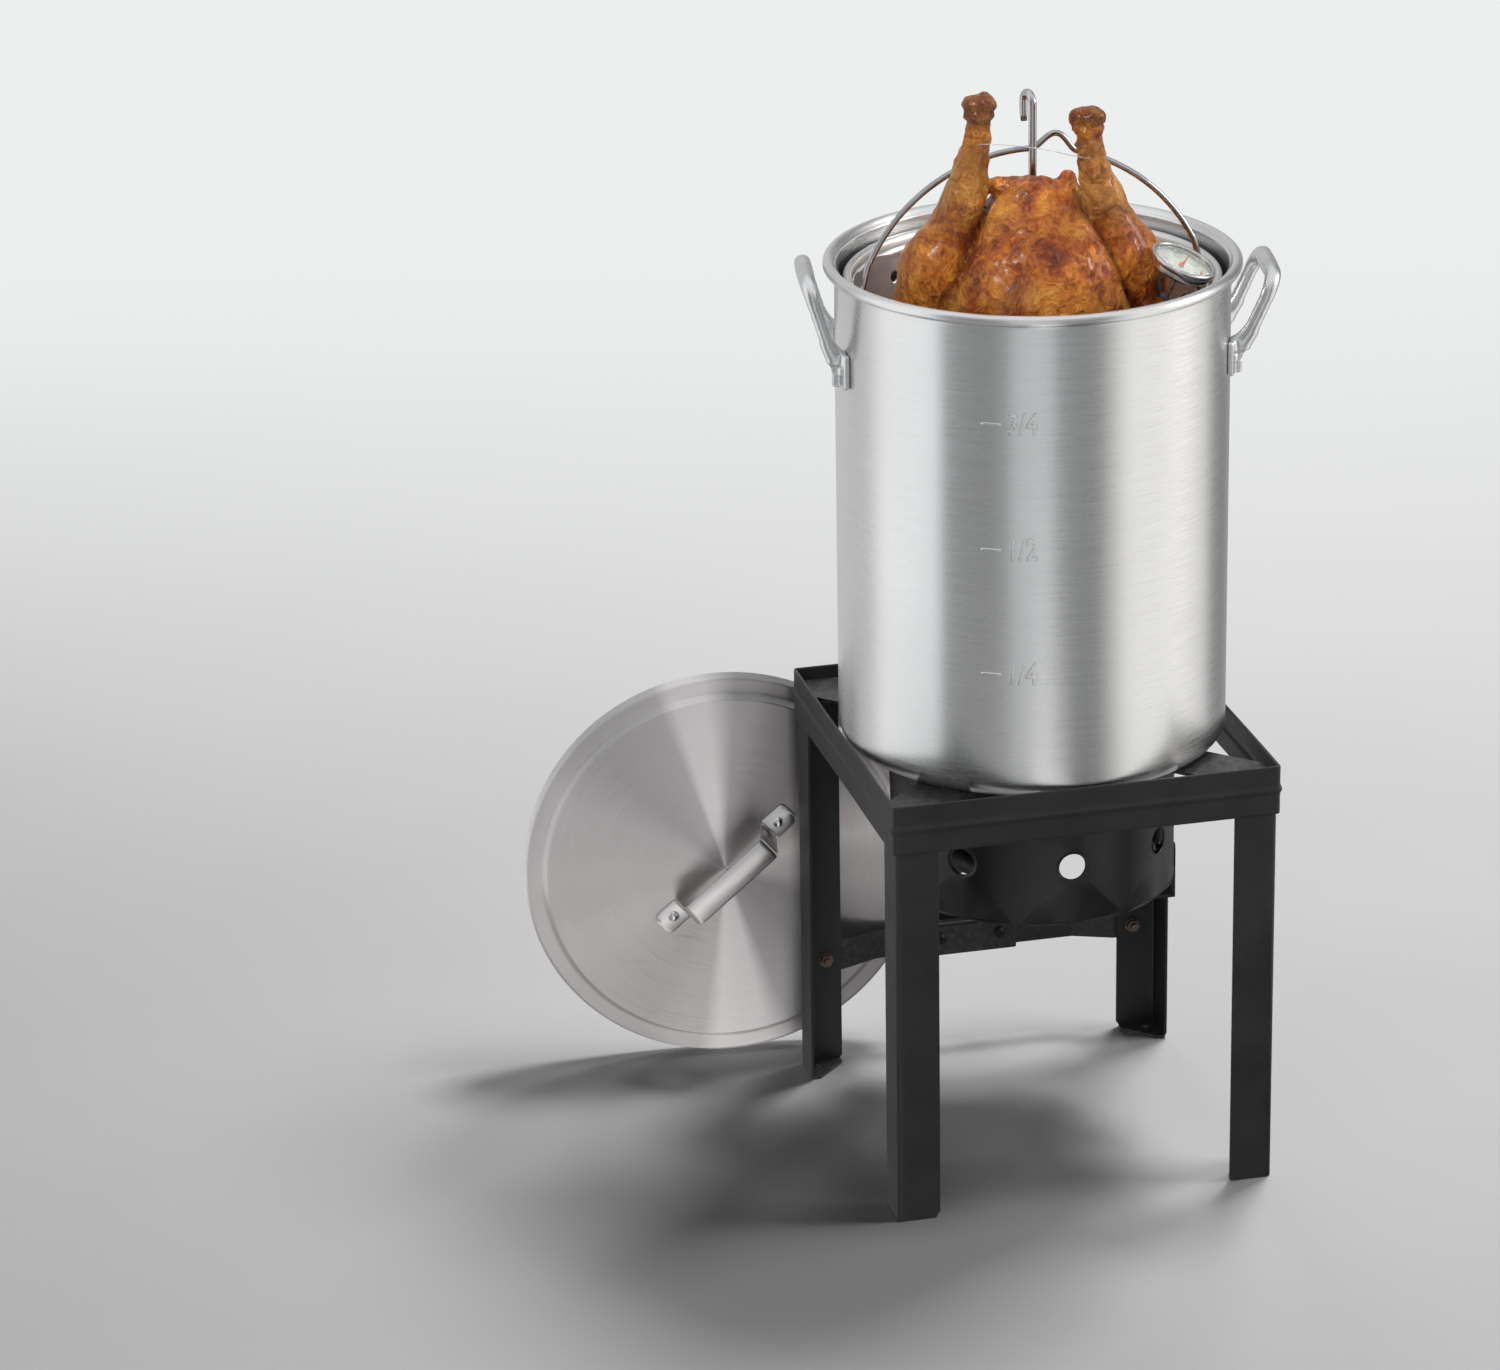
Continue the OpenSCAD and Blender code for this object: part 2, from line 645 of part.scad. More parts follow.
// ---------- rack ----------
module rack_base() {
  color(alu) difference() {
    translate([0, 0, rack_z]) rotate_extrude($fn = 128) {
      translate([0, 8]) square([92, 2]);
      translate([90, 0]) square([2, 9]);
      translate([91, 1.6]) circle(1.6, $fn = 32);
    }
    translate([0, 0, rack_z + 5]) {
      for (k = [0 : 7]) rotate([0, 0, k * 45 + 22.5]) translate([62, 0, 0])
        cylinder(r = 10, h = 8, $fn = 40);
      for (k = [0 : 5]) rotate([0, 0, k * 60]) translate([34, 0, 0])
        cylinder(r = 7, h = 8, $fn = 40);
      cylinder(r = rod_r, h = 8, $fn = 40);
    }
  }
}

module rack_rod() {
  hook_r = 8;                 // turn of the hook along the rod's axis
  tip_drop = 16;
  bend_z = hook_top - hook_r - rod_r;
  color(steel) {
    translate([0, 0, rack_z + 2]) cylinder(r = rod_r, h = bend_z - rack_z - 2, $fn = 40);
    // hook turned over toward the back
    rotate([0, 0, bird_turn + 115]) translate([0, 0, bend_z]) {
      sphere(rod_r, $fn = 40);
      translate([hook_r, 0, 0]) rotate([90, 0, 0]) rotate_extrude(angle = 180, $fn = 64)
        translate([hook_r, 0]) circle(rod_r, $fn = 40);
      translate([2 * hook_r, 0, 0]) sphere(rod_r, $fn = 40);
      translate([2 * hook_r, 0, -tip_drop]) {
        cylinder(r = rod_r, h = tip_drop, $fn = 32);
        sphere(rod_r, $fn = 32);
      }
    }
  }
}

// One nut under the base and one on top
module rack_nuts() {
  color(steel) for (z = [3.2, 10]) translate([0, 0, rack_z + z]) difference() {
    cylinder(r = 7, h = 4.8, $fn = 6);
    translate([0, 0, -1]) cylinder(r = rod_r, h = 8, $fn = 40);
  }
}

// ---------- bird ----------
// Thigh low at the side, shank standing up, knuckle at the top
module drumstick(side) {
  ankle_z = 842 + (side < 0 ? 8 : -3);
  ankle = [side * 43, 30, ankle_z];
  knee = [side * 60, 24, 768];
  hull() {
    translate([side * 74, 10, 700]) sphere(34, $fn = 28);
    translate(knee) sphere(26, $fn = 28);
  }
  hull() {
    translate(knee) sphere(26, $fn = 24);
    translate(ankle) sphere(9.5, $fn = 20);
  }
  translate(ankle) cylinder(r = 9.5, h = 21, $fn = 24);
  translate([side * 42.5, 30, ankle_z + 22]) sphere(12, $fn = 28);
}

module turkey() {
  color([0.66, 0.34, 0.12]) difference() {
    // mirrored so that the drumsticks come to the front
    rotate([0, 0, bird_turn]) mirror([0, 1, 0]) union() {
      hull() {
        translate([0, 4, rack_z + 84]) sphere(68, $fn = 32);
        translate([0, 10, 540]) sphere(116, $fn = 32);
        translate([0, 6, 640]) sphere(112, $fn = 32);
        translate([0, 16, 750]) sphere(66, $fn = 32);
      }
      for (side = [-1, 1]) drumstick(side);
    }
    // flat where it sits on the rack
    translate([-150, -150, rack_z - 20]) cube([300, 300, 36]);
    translate([0, 0, rack_z]) cylinder(r = rod_r + 0.8, h = 520, $fn = 40);
    // track of the thermometer stem and room for its clip
    place_dial() {
      translate([0, 0, -stem_l - 14]) cylinder(r = stem_r + 0.8, h = stem_l + 14, $fn = 32);
      translate([0, 0, -58]) cylinder(r = 15.5, h = 80, $fn = 40);
    }
  }
}

// ---------- thermometer ----------
dial_pos = [98.5, -79, 757];
dial_turn = -33.3;
dial_tilt = 22.8;
case_depth = 9;
glass_r = dial_r - 1;         // inside of the case

// Frame of the thermometer: the dial looks along +Z, the stem runs along -Z
module place_dial() {
  translate(dial_pos) rotate([0, 0, dial_turn]) rotate([0, dial_tilt, 0]) children();
}

module thermometer_case() {
  edge_r = 2.5;
  color(steel) place_dial() rotate_extrude($fn = 96) difference() {
    union() {
      translate([0, -case_depth]) square([dial_r - edge_r, 3]);
      translate([dial_r - edge_r, edge_r - case_depth]) circle(edge_r, $fn = 32);
      translate([0, edge_r - case_depth]) square([dial_r, 6]);
    }
    translate([0, -7.5]) square([glass_r, 8]);
    // nothing on the far side of the axis
    translate([-60, -20]) square([60, 40]);
    translate([0, -12]) square([stem_r + 0.5, 10]);
  }
}

module thermometer_bezel() {
  color(steel) place_dial() rotate_extrude($fn = 96) difference() {
    union() {
      translate([dial_r - 3, -3]) square([4.6, 4.2]);
      translate([dial_r - 1.2, 1.2]) circle(1.8, $fn = 24);
    }
    translate([dial_r - 4, -4]) square([4, 4]);
  }
}

module thermometer_lens() {
  color([0.8, 0.85, 0.85, 0.4]) place_dial()
    translate([0, 0, -1.5]) cylinder(r = glass_r, h = 1.4, $fn = 96);
}

module thermometer_dial() {
  color([0.80, 0.83, 0.76]) place_dial() difference() {
    translate([0, 0, -5]) cylinder(r = glass_r, h = 0.6, $fn = 96);
    translate([0, 0, -6]) cylinder(r = 0.9, h = 3, $fn = 24);
  }
}

// Stem with a collar inside the case and a socket for the needle's pin
module thermometer_stem() {
  color(steel) place_dial() difference() {
    union() {
      translate([0, 0, -case_depth - stem_l]) {
        cylinder(r = stem_r, h = stem_l + 1.6, $fn = 32);
        sphere(stem_r, $fn = 24);
      }
      translate([0, 0, -7.4]) cylinder(r = stem_r + 2, h = 1.2, $fn = 32);
    }
    translate([0, 0, -8.4]) cylinder(r = 0.76, h = 6, $fn = 24);
  }
}

module thermometer_hub() {
  color(steel) place_dial() difference() {
    union() {
      translate([0, 0, -14]) cylinder(r = 5, h = 4, $fn = 6);
      translate([0, 0, -10]) cylinder(r = 4.2, h = 1, $fn = 40);
    }
    translate([0, 0, -20]) cylinder(r = stem_r, h = 30, $fn = 32);
  }
}

// Pointer, its boss and its pin
module thermometer_needle() {
  color([0.75, 0.12, 0.08]) place_dial() {
    translate([0, 0, -3.8]) linear_extrude(0.5)
      polygon([[-0.9, 5], [-0.9, -4], [0.9, -4], [0.9, 5], [0.25, 19], [-0.25, 19]]);
    translate([0, 0, -3.9]) cylinder(r = 2.2, h = 0.9, $fn = 32);
    translate([0, 0, -8.2]) cylinder(r = 0.7, h = 5, $fn = 24);
  }
}

// Folded spring clip that slides on the stem
module thermometer_clip() {
  splay = 28;
  color([0.3, 0.3, 0.31]) place_dial() translate([0, 0, -34]) difference() {
    union() {
      translate([-7, -4, 0]) cube([14, 8, 1]);
      translate([-7, -4, 0]) rotate([0, -splay, 0]) cube([1, 8, 13]);
      translate([7, -4, 0]) rotate([0, splay, 0]) translate([-1, 0, 0]) cube([1, 8, 13]);
      cylinder(r = 3, h = 4, $fn = 32);
    }
    translate([0, 0, -5]) cylinder(r = stem_r + 0.06, h = 20, $fn = 32);
    translate([-20, -10, -10]) cube([40, 20, 10]);
  }
}

// ---------- lid ----------
lid_pos = [-209.6, 203, lid_r + 0.4];
lid_yaw = -6;
lid_lean = 1;
lid_t = 1.8;
lid_top = 6;                  // outer face of the raised panel
lid_handle_turn = 41;
lid_rivet_x = 60;             // rivets, either side of the lid's centre
lid_rivet_r = 2.5;

// Frame of the lid: +Z is the side with the handle, which faces the front
module place_lid() {
  translate(lid_pos) rotate([0, 0, lid_yaw]) rotate([90 - lid_lean, 0, 0]) children();
}
// The same, with X along the lid's handle
module place_lid_handle() {
  place_lid() rotate([0, 0, lid_handle_turn]) children();
}

module lid_shell() {
  step_r = 152;
  edge_r = 3;
  color(alu) difference() {
    place_lid() rotate_extrude($fn = 180) difference() {
      union() {
        // skirt, rounded edge, bead and flat rim
        translate([lid_r - lid_t, -lid_skirt]) square([lid_t, lid_skirt - edge_r]);
        translate([lid_r - edge_r, -edge_r]) circle(edge_r, $fn = 32);
        translate([lid_r - lid_t, -lid_skirt]) circle(1.8, $fn = 24);
        translate([step_r - 2, -lid_t]) square([lid_r - edge_r - step_r + 2, lid_t]);
        // step and raised panel
        polygon([[step_r - 4, lid_top - lid_t], [step_r - 0.5, -lid_t],
          [step_r + 1.8, -lid_t], [step_r - 2, lid_top]]);
        translate([0, lid_top - lid_t]) square([step_r - 2.5, lid_t]);
      }
      translate([step_r + 4, -lid_skirt - 3])
        square([lid_r - lid_t - step_r - 4, lid_skirt + 3 - lid_t]);
      // nothing on the far side of the axis
      translate([-60, -30]) square([60, 60]);
    }
    place_lid_handle() for (x = [-lid_rivet_x, lid_rivet_x]) translate([x, 0, 0])
      cylinder(r = lid_rivet_r, h = 10, $fn = 32);
  }
}

module lid_handle() {
  t = 2.4;
  width = 21;
  grip_z = 33.6;              // underside of the grip above the panel
  color(alu) place_lid_handle() difference() {
    translate([0, 0, lid_top]) union() {
      both_sides() {
        translate([59, 0, 0]) rounded_plate(w = 28, h = width, t = t, r = 4);
        // the strap rises from the tab to the grip
        rotate([90, 0, 0]) translate([0, 0, -width / 2]) linear_extrude(width)
          polygon([[45, 0], [50, 0], [50, t], [47.5, t], [44.5, 33],
            [41, grip_z + t], [41, grip_z], [42.2, 32]]);
      }
      translate([-41.5, -width / 2, grip_z]) cube([83, width, t]);
    }
    for (x = [-lid_rivet_x, lid_rivet_x]) translate([x, 0, 0])
      cylinder(r = lid_rivet_r, h = 12, $fn = 32);
  }
}

module lid_rivets() {
  color(alu) place_lid_handle() for (x = [-lid_rivet_x, lid_rivet_x]) translate([x, 0, 0]) {
    translate([0, 0, 3]) cylinder(r = 4.5, h = 1.2, $fn = 40);
    translate([0, 0, 3.5]) cylinder(r = lid_rivet_r, h = 6, $fn = 32);
    translate([0, 0, 8.4]) cylinder(r1 = 4.6, r2 = 2.8, h = 2.2, $fn = 40);
  }
}

top_band();
leg(-1, -1);  // leg_front_left
leg(1, -1);  // leg_front_right
leg(-1, 1);  // leg_back_left
leg(1, 1);  // leg_back_right
foot_plates();
pot_support_bars();
windshield_ring();
burner_bracket();
ring_screws();
burner_casting();
burner_bolt();
orifice_fitting();
air_shutter();
back_strap();
strap_plate();
strap_bolts();
strap_nuts();
plate_screws();
pot_shell();
pot_handle_left();
pot_handle_right();
handle_rivets();
basket_shell();
bail_ears();
ear_rivets();
basket_bail();
rack_base();
rack_rod();
rack_nuts();
turkey();
thermometer_case();
thermometer_bezel();
thermometer_lens();
thermometer_dial();
thermometer_stem();
thermometer_hub();
thermometer_needle();
thermometer_clip();
lid_shell();
lid_handle();
lid_rivets();
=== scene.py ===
# A poultry frying kit. The burner stand, pot, perforated basket and roast bird on its rack share
# the world Z axis, with the feet at z = 0. The lid stands on edge behind and to the left.
# The front faces -Y and +X is right. Sizes are in millimetres and are scaled to metres when an
# object is made; lights, camera and floor are in metres.
import bpy
import bmesh
import json
import numpy as np
from math import acos, asin, atan2, cos, degrees, exp, hypot, pi, radians, sin, sqrt, tan
from mathutils import Matrix, Vector

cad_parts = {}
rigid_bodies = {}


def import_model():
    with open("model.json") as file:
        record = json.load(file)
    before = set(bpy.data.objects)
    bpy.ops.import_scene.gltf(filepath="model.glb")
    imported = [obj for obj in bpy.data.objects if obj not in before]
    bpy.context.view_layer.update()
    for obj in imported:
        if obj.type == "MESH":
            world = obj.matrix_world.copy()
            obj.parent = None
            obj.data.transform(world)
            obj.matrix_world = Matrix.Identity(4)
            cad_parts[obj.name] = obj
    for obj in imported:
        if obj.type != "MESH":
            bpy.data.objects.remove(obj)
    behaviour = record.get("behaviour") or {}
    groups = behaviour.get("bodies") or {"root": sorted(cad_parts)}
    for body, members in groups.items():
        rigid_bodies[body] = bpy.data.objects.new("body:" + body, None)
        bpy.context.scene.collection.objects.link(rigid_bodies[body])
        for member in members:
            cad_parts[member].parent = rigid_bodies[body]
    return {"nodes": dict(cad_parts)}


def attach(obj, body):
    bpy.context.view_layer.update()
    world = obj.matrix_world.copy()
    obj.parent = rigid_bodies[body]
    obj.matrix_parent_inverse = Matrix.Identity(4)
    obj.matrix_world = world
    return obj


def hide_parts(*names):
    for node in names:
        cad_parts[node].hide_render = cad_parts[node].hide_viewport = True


cad_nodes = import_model()["nodes"]
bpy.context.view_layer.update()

MM = 0.001

# ------------------------------------------------------------------ driving sizes and frames
POT_RADIUS = 156.0
POT_Z = 348.0                       # underside of the pot
RIM_Z = 748.0                       # top of the pot
HANDLE_Z = RIM_Z - 77               # rivet height of the pot handles
HANDLE_HALF = 40.0                  # rivet distance either side of a handle's middle
BASKET_RADIUS = 143.0
BASKET_Z = 350.7
BASKET_RIM_Z = BASKET_Z + 384.0
PIVOT_Z = BASKET_RIM_Z - 13.0       # bail pivots
RACK_Z = BASKET_Z + 1.8
POT_TURN = -10.0                    # degrees about Z
BIRD_TURN = -15.0


def shift(x, y, z):
    return Matrix.Translation((x, y, z))


def turn(angle, axis):
    return Matrix.Rotation(radians(angle), 4, axis)


LID_FRAME = shift(-209.6 * MM, 203 * MM, 169.4 * MM) @ turn(-6, 'Z') @ turn(89, 'X')
DIAL_FRAME = shift(98.5 * MM, -79 * MM, 757 * MM) @ turn(-33.3, 'Z') @ turn(22.8, 'Y')


# ------------------------------------------------------------------ mesh helpers
def add_piece(name, shape, material, body, slot, node=None, matrix=None, smooth=True, sharp=None):
    """Make an object from (points, faces); edges over `sharp` degrees are marked sharp."""
    points, faces = shape
    mesh = bpy.data.meshes.new(name)
    points = np.asarray(points, float) * MM
    mesh.from_pydata(points.tolist(), [], [list(map(int, face)) for face in faces])
    mesh.validate(clean_customdata=False)
    work = bmesh.new()
    work.from_mesh(mesh)
    bmesh.ops.remove_doubles(work, verts=work.verts, dist=1e-6)
    bmesh.ops.recalc_face_normals(work, faces=work.faces)
    if sharp is not None:
        for edge in work.edges:
            if len(edge.link_faces) == 2 and edge.calc_face_angle(0) > radians(sharp):
                edge.smooth = False
    work.to_mesh(mesh)
    work.free()
    if smooth:
        for polygon in mesh.polygons:
            polygon.use_smooth = True
    piece = bpy.data.objects.new(name, mesh)
    bpy.context.scene.collection.objects.link(piece)
    if matrix is not None:
        piece.matrix_world = matrix
    mesh.materials.append(material)
    bpy.context.view_layer.update()
    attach(piece, body)
    if node:
        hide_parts(node)
    return piece


def wear_edges(piece, width, angle):
    bevel = piece.modifiers.new("edge", 'BEVEL')
    bevel.width = width
    bevel.segments = 2
    bevel.limit_method = 'ANGLE'
    bevel.angle_limit = radians(angle)


def thicken(piece, thickness):
    sheet = piece.modifiers.new("sheet", 'SOLIDIFY')
    sheet.thickness = thickness * MM
    sheet.offset = -1


def relax(piece, factor, iterations):
    smoothing = piece.modifiers.new("relax", 'SMOOTH')
    smoothing.factor = factor
    smoothing.iterations = iterations


def join(shapes):
    points, faces = [], []
    for part_points, part_faces in shapes:
        start = len(points)
        points += [tuple(point) for point in part_points]
        faces += [[start + i for i in face] for face in part_faces]
    return points, faces


def arc(x, y, radius, start, end, steps):
    angles = [radians(start + (end - start) * i / steps) for i in range(steps + 1)]
    return [(x + radius * cos(a), y + radius * sin(a)) for a in angles]


def revolve(profile, segments, closed=True):
    """Turn (radius, z) points about Z; points at radius 0 become poles."""
    points, rings, faces = [], [], []
    for radius, z in profile:
        start = len(points)
        if abs(radius) < 1e-6:
            points.append((0, 0, z))
        else:
            for k in range(segments):
                a = 2 * pi * k / segments
                points.append((radius * cos(a), radius * sin(a), z))
        rings.append(range(start, len(points)))
    for ring, following in zip(rings, rings[1:] + rings[:1] if closed else rings[1:]):
        if len(ring) == 1 and len(following) == 1:
            continue
        for k in range(segments):
            k2 = (k + 1) % segments
            if len(ring) == 1:
                faces.append((ring[0], following[k], following[k2]))
            elif len(following) == 1:
                faces.append((ring[k], ring[k2], following[0]))
            else:
                faces.append((ring[k], ring[k2], following[k2], following[k]))
    return points, faces


def skin_rings(count, size, closed=False):
    """Quads that join `count` rings of `size` points, and the last to the first if closed."""
    faces = []
    for i in range(count if closed else count - 1):
        ring, following = i * size, (i + 1) % count * size
        for k in range(size):
            k2 = (k + 1) % size
            faces.append((ring + k, ring + k2, following + k2, following + k))
    return faces


def capped_strip(rings):
    count, size = len(rings), len(rings[0])
    faces = skin_rings(count, size)
    faces += [range(size), range((count - 1) * size, count * size)]
    return [point for ring in rings for point in ring], faces


def unit_tangents(path):
    tangents = np.gradient(path, axis=0)
    return tangents / np.linalg.norm(tangents, axis=1)[:, None]


def sweep(path, radius, sides, up):
    """Capped round tube along a path; radius is one number or one for each point."""
    path = np.asarray(path, float)
    count = len(path)
    radii = np.broadcast_to(radius, count)
    out = np.array(up, float)
    points = []
    for point, tangent, size in zip(path, unit_tangents(path), radii):
        out = out - (out @ tangent) * tangent
        out /= np.linalg.norm(out)
        side = np.cross(tangent, out)
        for k in range(sides):
            a = 2 * pi * k / sides
            points.append(point + out * size * cos(a) + side * size * sin(a))
    faces = skin_rings(count, sides)
    for start, centre in ((0, path[0]), ((count - 1) * sides, path[-1])):
        hub = len(points)
        points.append(centre)
        faces += [(start + k, start + (k + 1) % sides, hub) for k in range(sides)]
    return points, faces


def smooth_path(stations, steps):
    """Catmull-Rom curve through the stations."""
    stations = np.asarray(stations, float)
    first, last = 2 * stations[0] - stations[1], 2 * stations[-1] - stations[-2]
    knots = np.vstack([first, stations, last])
    path = []
    for a, b, c, d in zip(knots, knots[1:], knots[2:], knots[3:]):
        for k in range(steps):
            t = k / steps
            path.append(0.5 * ((2 * b) + (-a + c) * t + (2 * a - 5 * b + 4 * c - d) * t * t
                               + (-a + 3 * b - 3 * c + d) * t**3))
    path.append(stations[-1])
    return np.array(path)


def turned(points, angle):
    """Points turned about Z by an angle in degrees."""
    c, s = cos(radians(angle)), sin(radians(angle))
    x, y, z = np.asarray(points, float).T
    return np.stack([x * c - y * s, x * s + y * c, z], 1)


def perforated_tube(radius, columns, rows, hole_radius, segments):
    """Tube wall of square cells, `columns` round it.

    rows: bottom z, top z, hole centre z (None for a plain row), sideways shift in cells
    """
    hole_width = hole_radius / (2 * pi * radius / columns)
    quarter = segments // 4
    points, faces, known = [], [], {}

    def vertex(u, v):
        u = u % columns
        key = (round(u * 1e4) % round(columns * 1e4), round(v * 1e3))
        if key not in known:
            known[key] = len(points)
            a = 2 * pi * u / columns
            points.append((radius * cos(a), radius * sin(a), v))
        return known[key]

    for low, high, hole_z, sideways in rows:
        for column in range(columns):
            left = column + sideways
            steps = [i / quarter for i in range(quarter)]
            outline = [(left + i / quarter, low) for i in range(quarter)]
            outline += [(left + 1, low + (high - low) * i / quarter) for i in range(quarter)]
            outline += [(left + 1 - step, high) for step in steps]
            outline += [(left, high - (high - low) * i / quarter) for i in range(quarter)]
            loops = [[vertex(*corner) for corner in outline]]
            if hole_z is None:
                hub = vertex(left + .5, (low + high) / 2)
                edge = loops[0]
                faces += [(edge[i], edge[(i + 1) % segments], hub) for i in range(segments)]
                continue
            for size in (1.28, 1.0):
                angles = [radians(-135) + 2 * pi * i / segments for i in range(segments)]
                loops.append([vertex(left + .5 + hole_width * size * cos(a),
                                     hole_z + hole_radius * size * sin(a)) for a in angles])
            for outer, inner in zip(loops, loops[1:]):
                for i in range(segments):
                    j = (i + 1) % segments
                    faces.append((outer[i], outer[j], inner[j], inner[i]))
    return points, faces


def text_mesh(text, name, size, **settings):
    curve = bpy.data.curves.new(name, 'FONT')
    settings.update(body=text, size=size, align_x='CENTER', align_y='CENTER')
    for key, value in settings.items():
        setattr(curve, key, value)
    holder = bpy.data.objects.new(name + "_t", curve)
    bpy.context.scene.collection.objects.link(holder)
    bpy.context.view_layer.update()
    graph = bpy.context.evaluated_depsgraph_get()
    mesh = bpy.data.meshes.new_from_object(holder.evaluated_get(graph))
    bpy.data.objects.remove(holder)
    points = np.array([vertex.co[:] for vertex in mesh.vertices])
    return points, [tuple(polygon.vertices) for polygon in mesh.polygons]


# ------------------------------------------------------------------ distance fields
def surface_nets(field, low, high, step):
    """Quad mesh of the surface where field(x, y, z) crosses zero, on a grid of cells."""
    low, high = np.array(low, float), np.array(high, float)
    counts = np.ceil((high - low) / step).astype(int) + 1
    axes = [low[i] + step * np.arange(counts[i]) for i in range(3)]
    values = np.empty(counts, np.float32)
    slab = 24                       # layers worked out at a time, to limit memory
    for i in range(0, counts[0], slab):
        grid = np.meshgrid(axes[0][i:i + slab], axes[1], axes[2], indexing='ij')
        values[i:i + slab] = field(*grid)
    inside = values < 0

    # one vertex in each crossed cell, at the mean of its edge crossings
    cells = counts - 1
    total = np.zeros((*cells, 3), np.float32)
    crossings = np.zeros(cells, np.int16)
    corners = [(i & 1, i >> 1 & 1, i >> 2) for i in range(8)]

    def corner_values(corner):
        return values[tuple(slice(c, c + n) for c, n in zip(corner, cells))]

    for bit in (1, 2, 4):
        for i in range(8):
            if i & bit:
                continue
            start, end = corners[i], corners[i + bit]
            value_a, value_b = corner_values(start), corner_values(end)
            crossed = (value_a < 0) != (value_b < 0)
            t = np.where(crossed, value_a / np.where(crossed, value_a - value_b, 1), 0)
            crossings += crossed
            for d in range(3):
                total[..., d] += np.where(crossed, start[d] + t * (end[d] - start[d]), 0)
    used = crossings > 0
    index = -np.ones(cells, np.int64)
    index[used] = np.arange(used.sum())
    points = low + step * (np.argwhere(used) + total[used] / crossings[used][:, None])

    # one quad round each crossed grid edge
    faces = []
    for d in range(3):
        side_a, side_b = (d + 1) % 3, (d + 2) % 3
        before, after = [slice(None)] * 3, [slice(None)] * 3
        before[d], after[d] = slice(0, -1), slice(1, None)
        start = inside[tuple(before)]
        edges = np.argwhere(start != inside[tuple(after)])
        keep = (edges[:, side_a] > 0) & (edges[:, side_b] > 0)
        keep &= (edges[:, side_a] < cells[side_a]) & (edges[:, side_b] < cells[side_b])
        edges = edges[keep]
        leaving = start[tuple(edges.T)]
        quads = []
        for offset_a, offset_b in ((-1, -1), (0, -1), (0, 0), (-1, 0)):
            cell = edges.copy()
            cell[:, side_a] += offset_a
            cell[:, side_b] += offset_b
            quads.append(index[tuple(cell.T)])
        quads = np.stack(quads, 1)
        quads[~leaving] = quads[~leaving][:, ::-1]
        faces.append(quads)
    return points, np.vstack(faces)


def smooth_min(a, b, width):
    h = np.clip(.5 + .5 * (b - a) / width, 0, 1)
    return b * (1 - h) + a * h - width * h * (1 - h)


def ellipsoid(point, centre, radii):
    x, y, z = [(p - c) / r for p, c, r in zip(point, centre, radii)]
    return (np.sqrt(x * x + y * y + z * z) - 1) * min(radii)


def cone(point, start, end, start_radius, end_radius):
    axis = np.array(end, float) - np.array(start, float)
    offset = [p - s for p, s in zip(point, start)]
    t = np.clip(sum(o * a for o, a in zip(offset, axis)) / (axis @ axis), 0, 1)
    distance = np.sqrt(sum((o - t * a)**2 for o, a in zip(offset, axis)))
    return distance - (start_radius + (end_radius - start_radius) * t)


def rounded_box(point, centre, half, radius):
    x, y, z = [np.abs(p - c) - h + radius for p, c, h in zip(point, centre, half)]
    outside = np.sqrt(np.maximum(x, 0)**2 + np.maximum(y, 0)**2 + np.maximum(z, 0)**2)
    return outside + np.minimum(np.maximum(x, np.maximum(y, z)), 0) - radius


def melt(solid, point, parts):
    """Blend parts into a solid. parts: shape, its arguments, blend width"""
    for shape, arguments, width in parts:
        part = shape(point, *arguments)
        solid = part if solid is None else smooth_min(solid, part, width)
    return solid


PERMUTATION = np.random.RandomState(7).permutation(512)


def value_noise(x, y, z):
    """Noise from -1 to 1 at arrays of points."""
    xi, yi, zi = [np.floor(value).astype(int) for value in (x, y, z)]
    u, v, w = [t * t * (3 - 2 * t) for t in (x - xi, y - yi, z - zi)]

    def lattice(a, b, c):
        first = PERMUTATION[a & 511]
        second = PERMUTATION[(first + b) & 511]
        return PERMUTATION[(second + c) & 511] / 255.5 - 1

    def lerp(a, b, t):
        return a + (b - a) * t

    def row(dy, dz):
        return lerp(lattice(xi, yi + dy, zi + dz), lattice(xi + 1, yi + dy, zi + dz), u)

    def layer(dz):
        return lerp(row(0, dz), row(1, dz), v)

    return lerp(layer(0), layer(1), w)


def relief(points, size, octaves):
    """Layered value noise whose coarsest features are `size` across."""
    value, weight, total = 0, 1.0, 0
    for i in range(octaves):
        f = 2.03 ** i / size
        value = value + weight * value_noise(points[:, 0] * f + 17.3 * i,
                                             points[:, 1] * f + 5.1 * i,
                                             points[:, 2] * f - 9.7 * i)
        total += weight
        weight *= .55
    return value / total


def fade(value, start, length):
    """0 at start, rising to 1 a length further on."""
    return np.clip((value - start) / length, 0, 1)


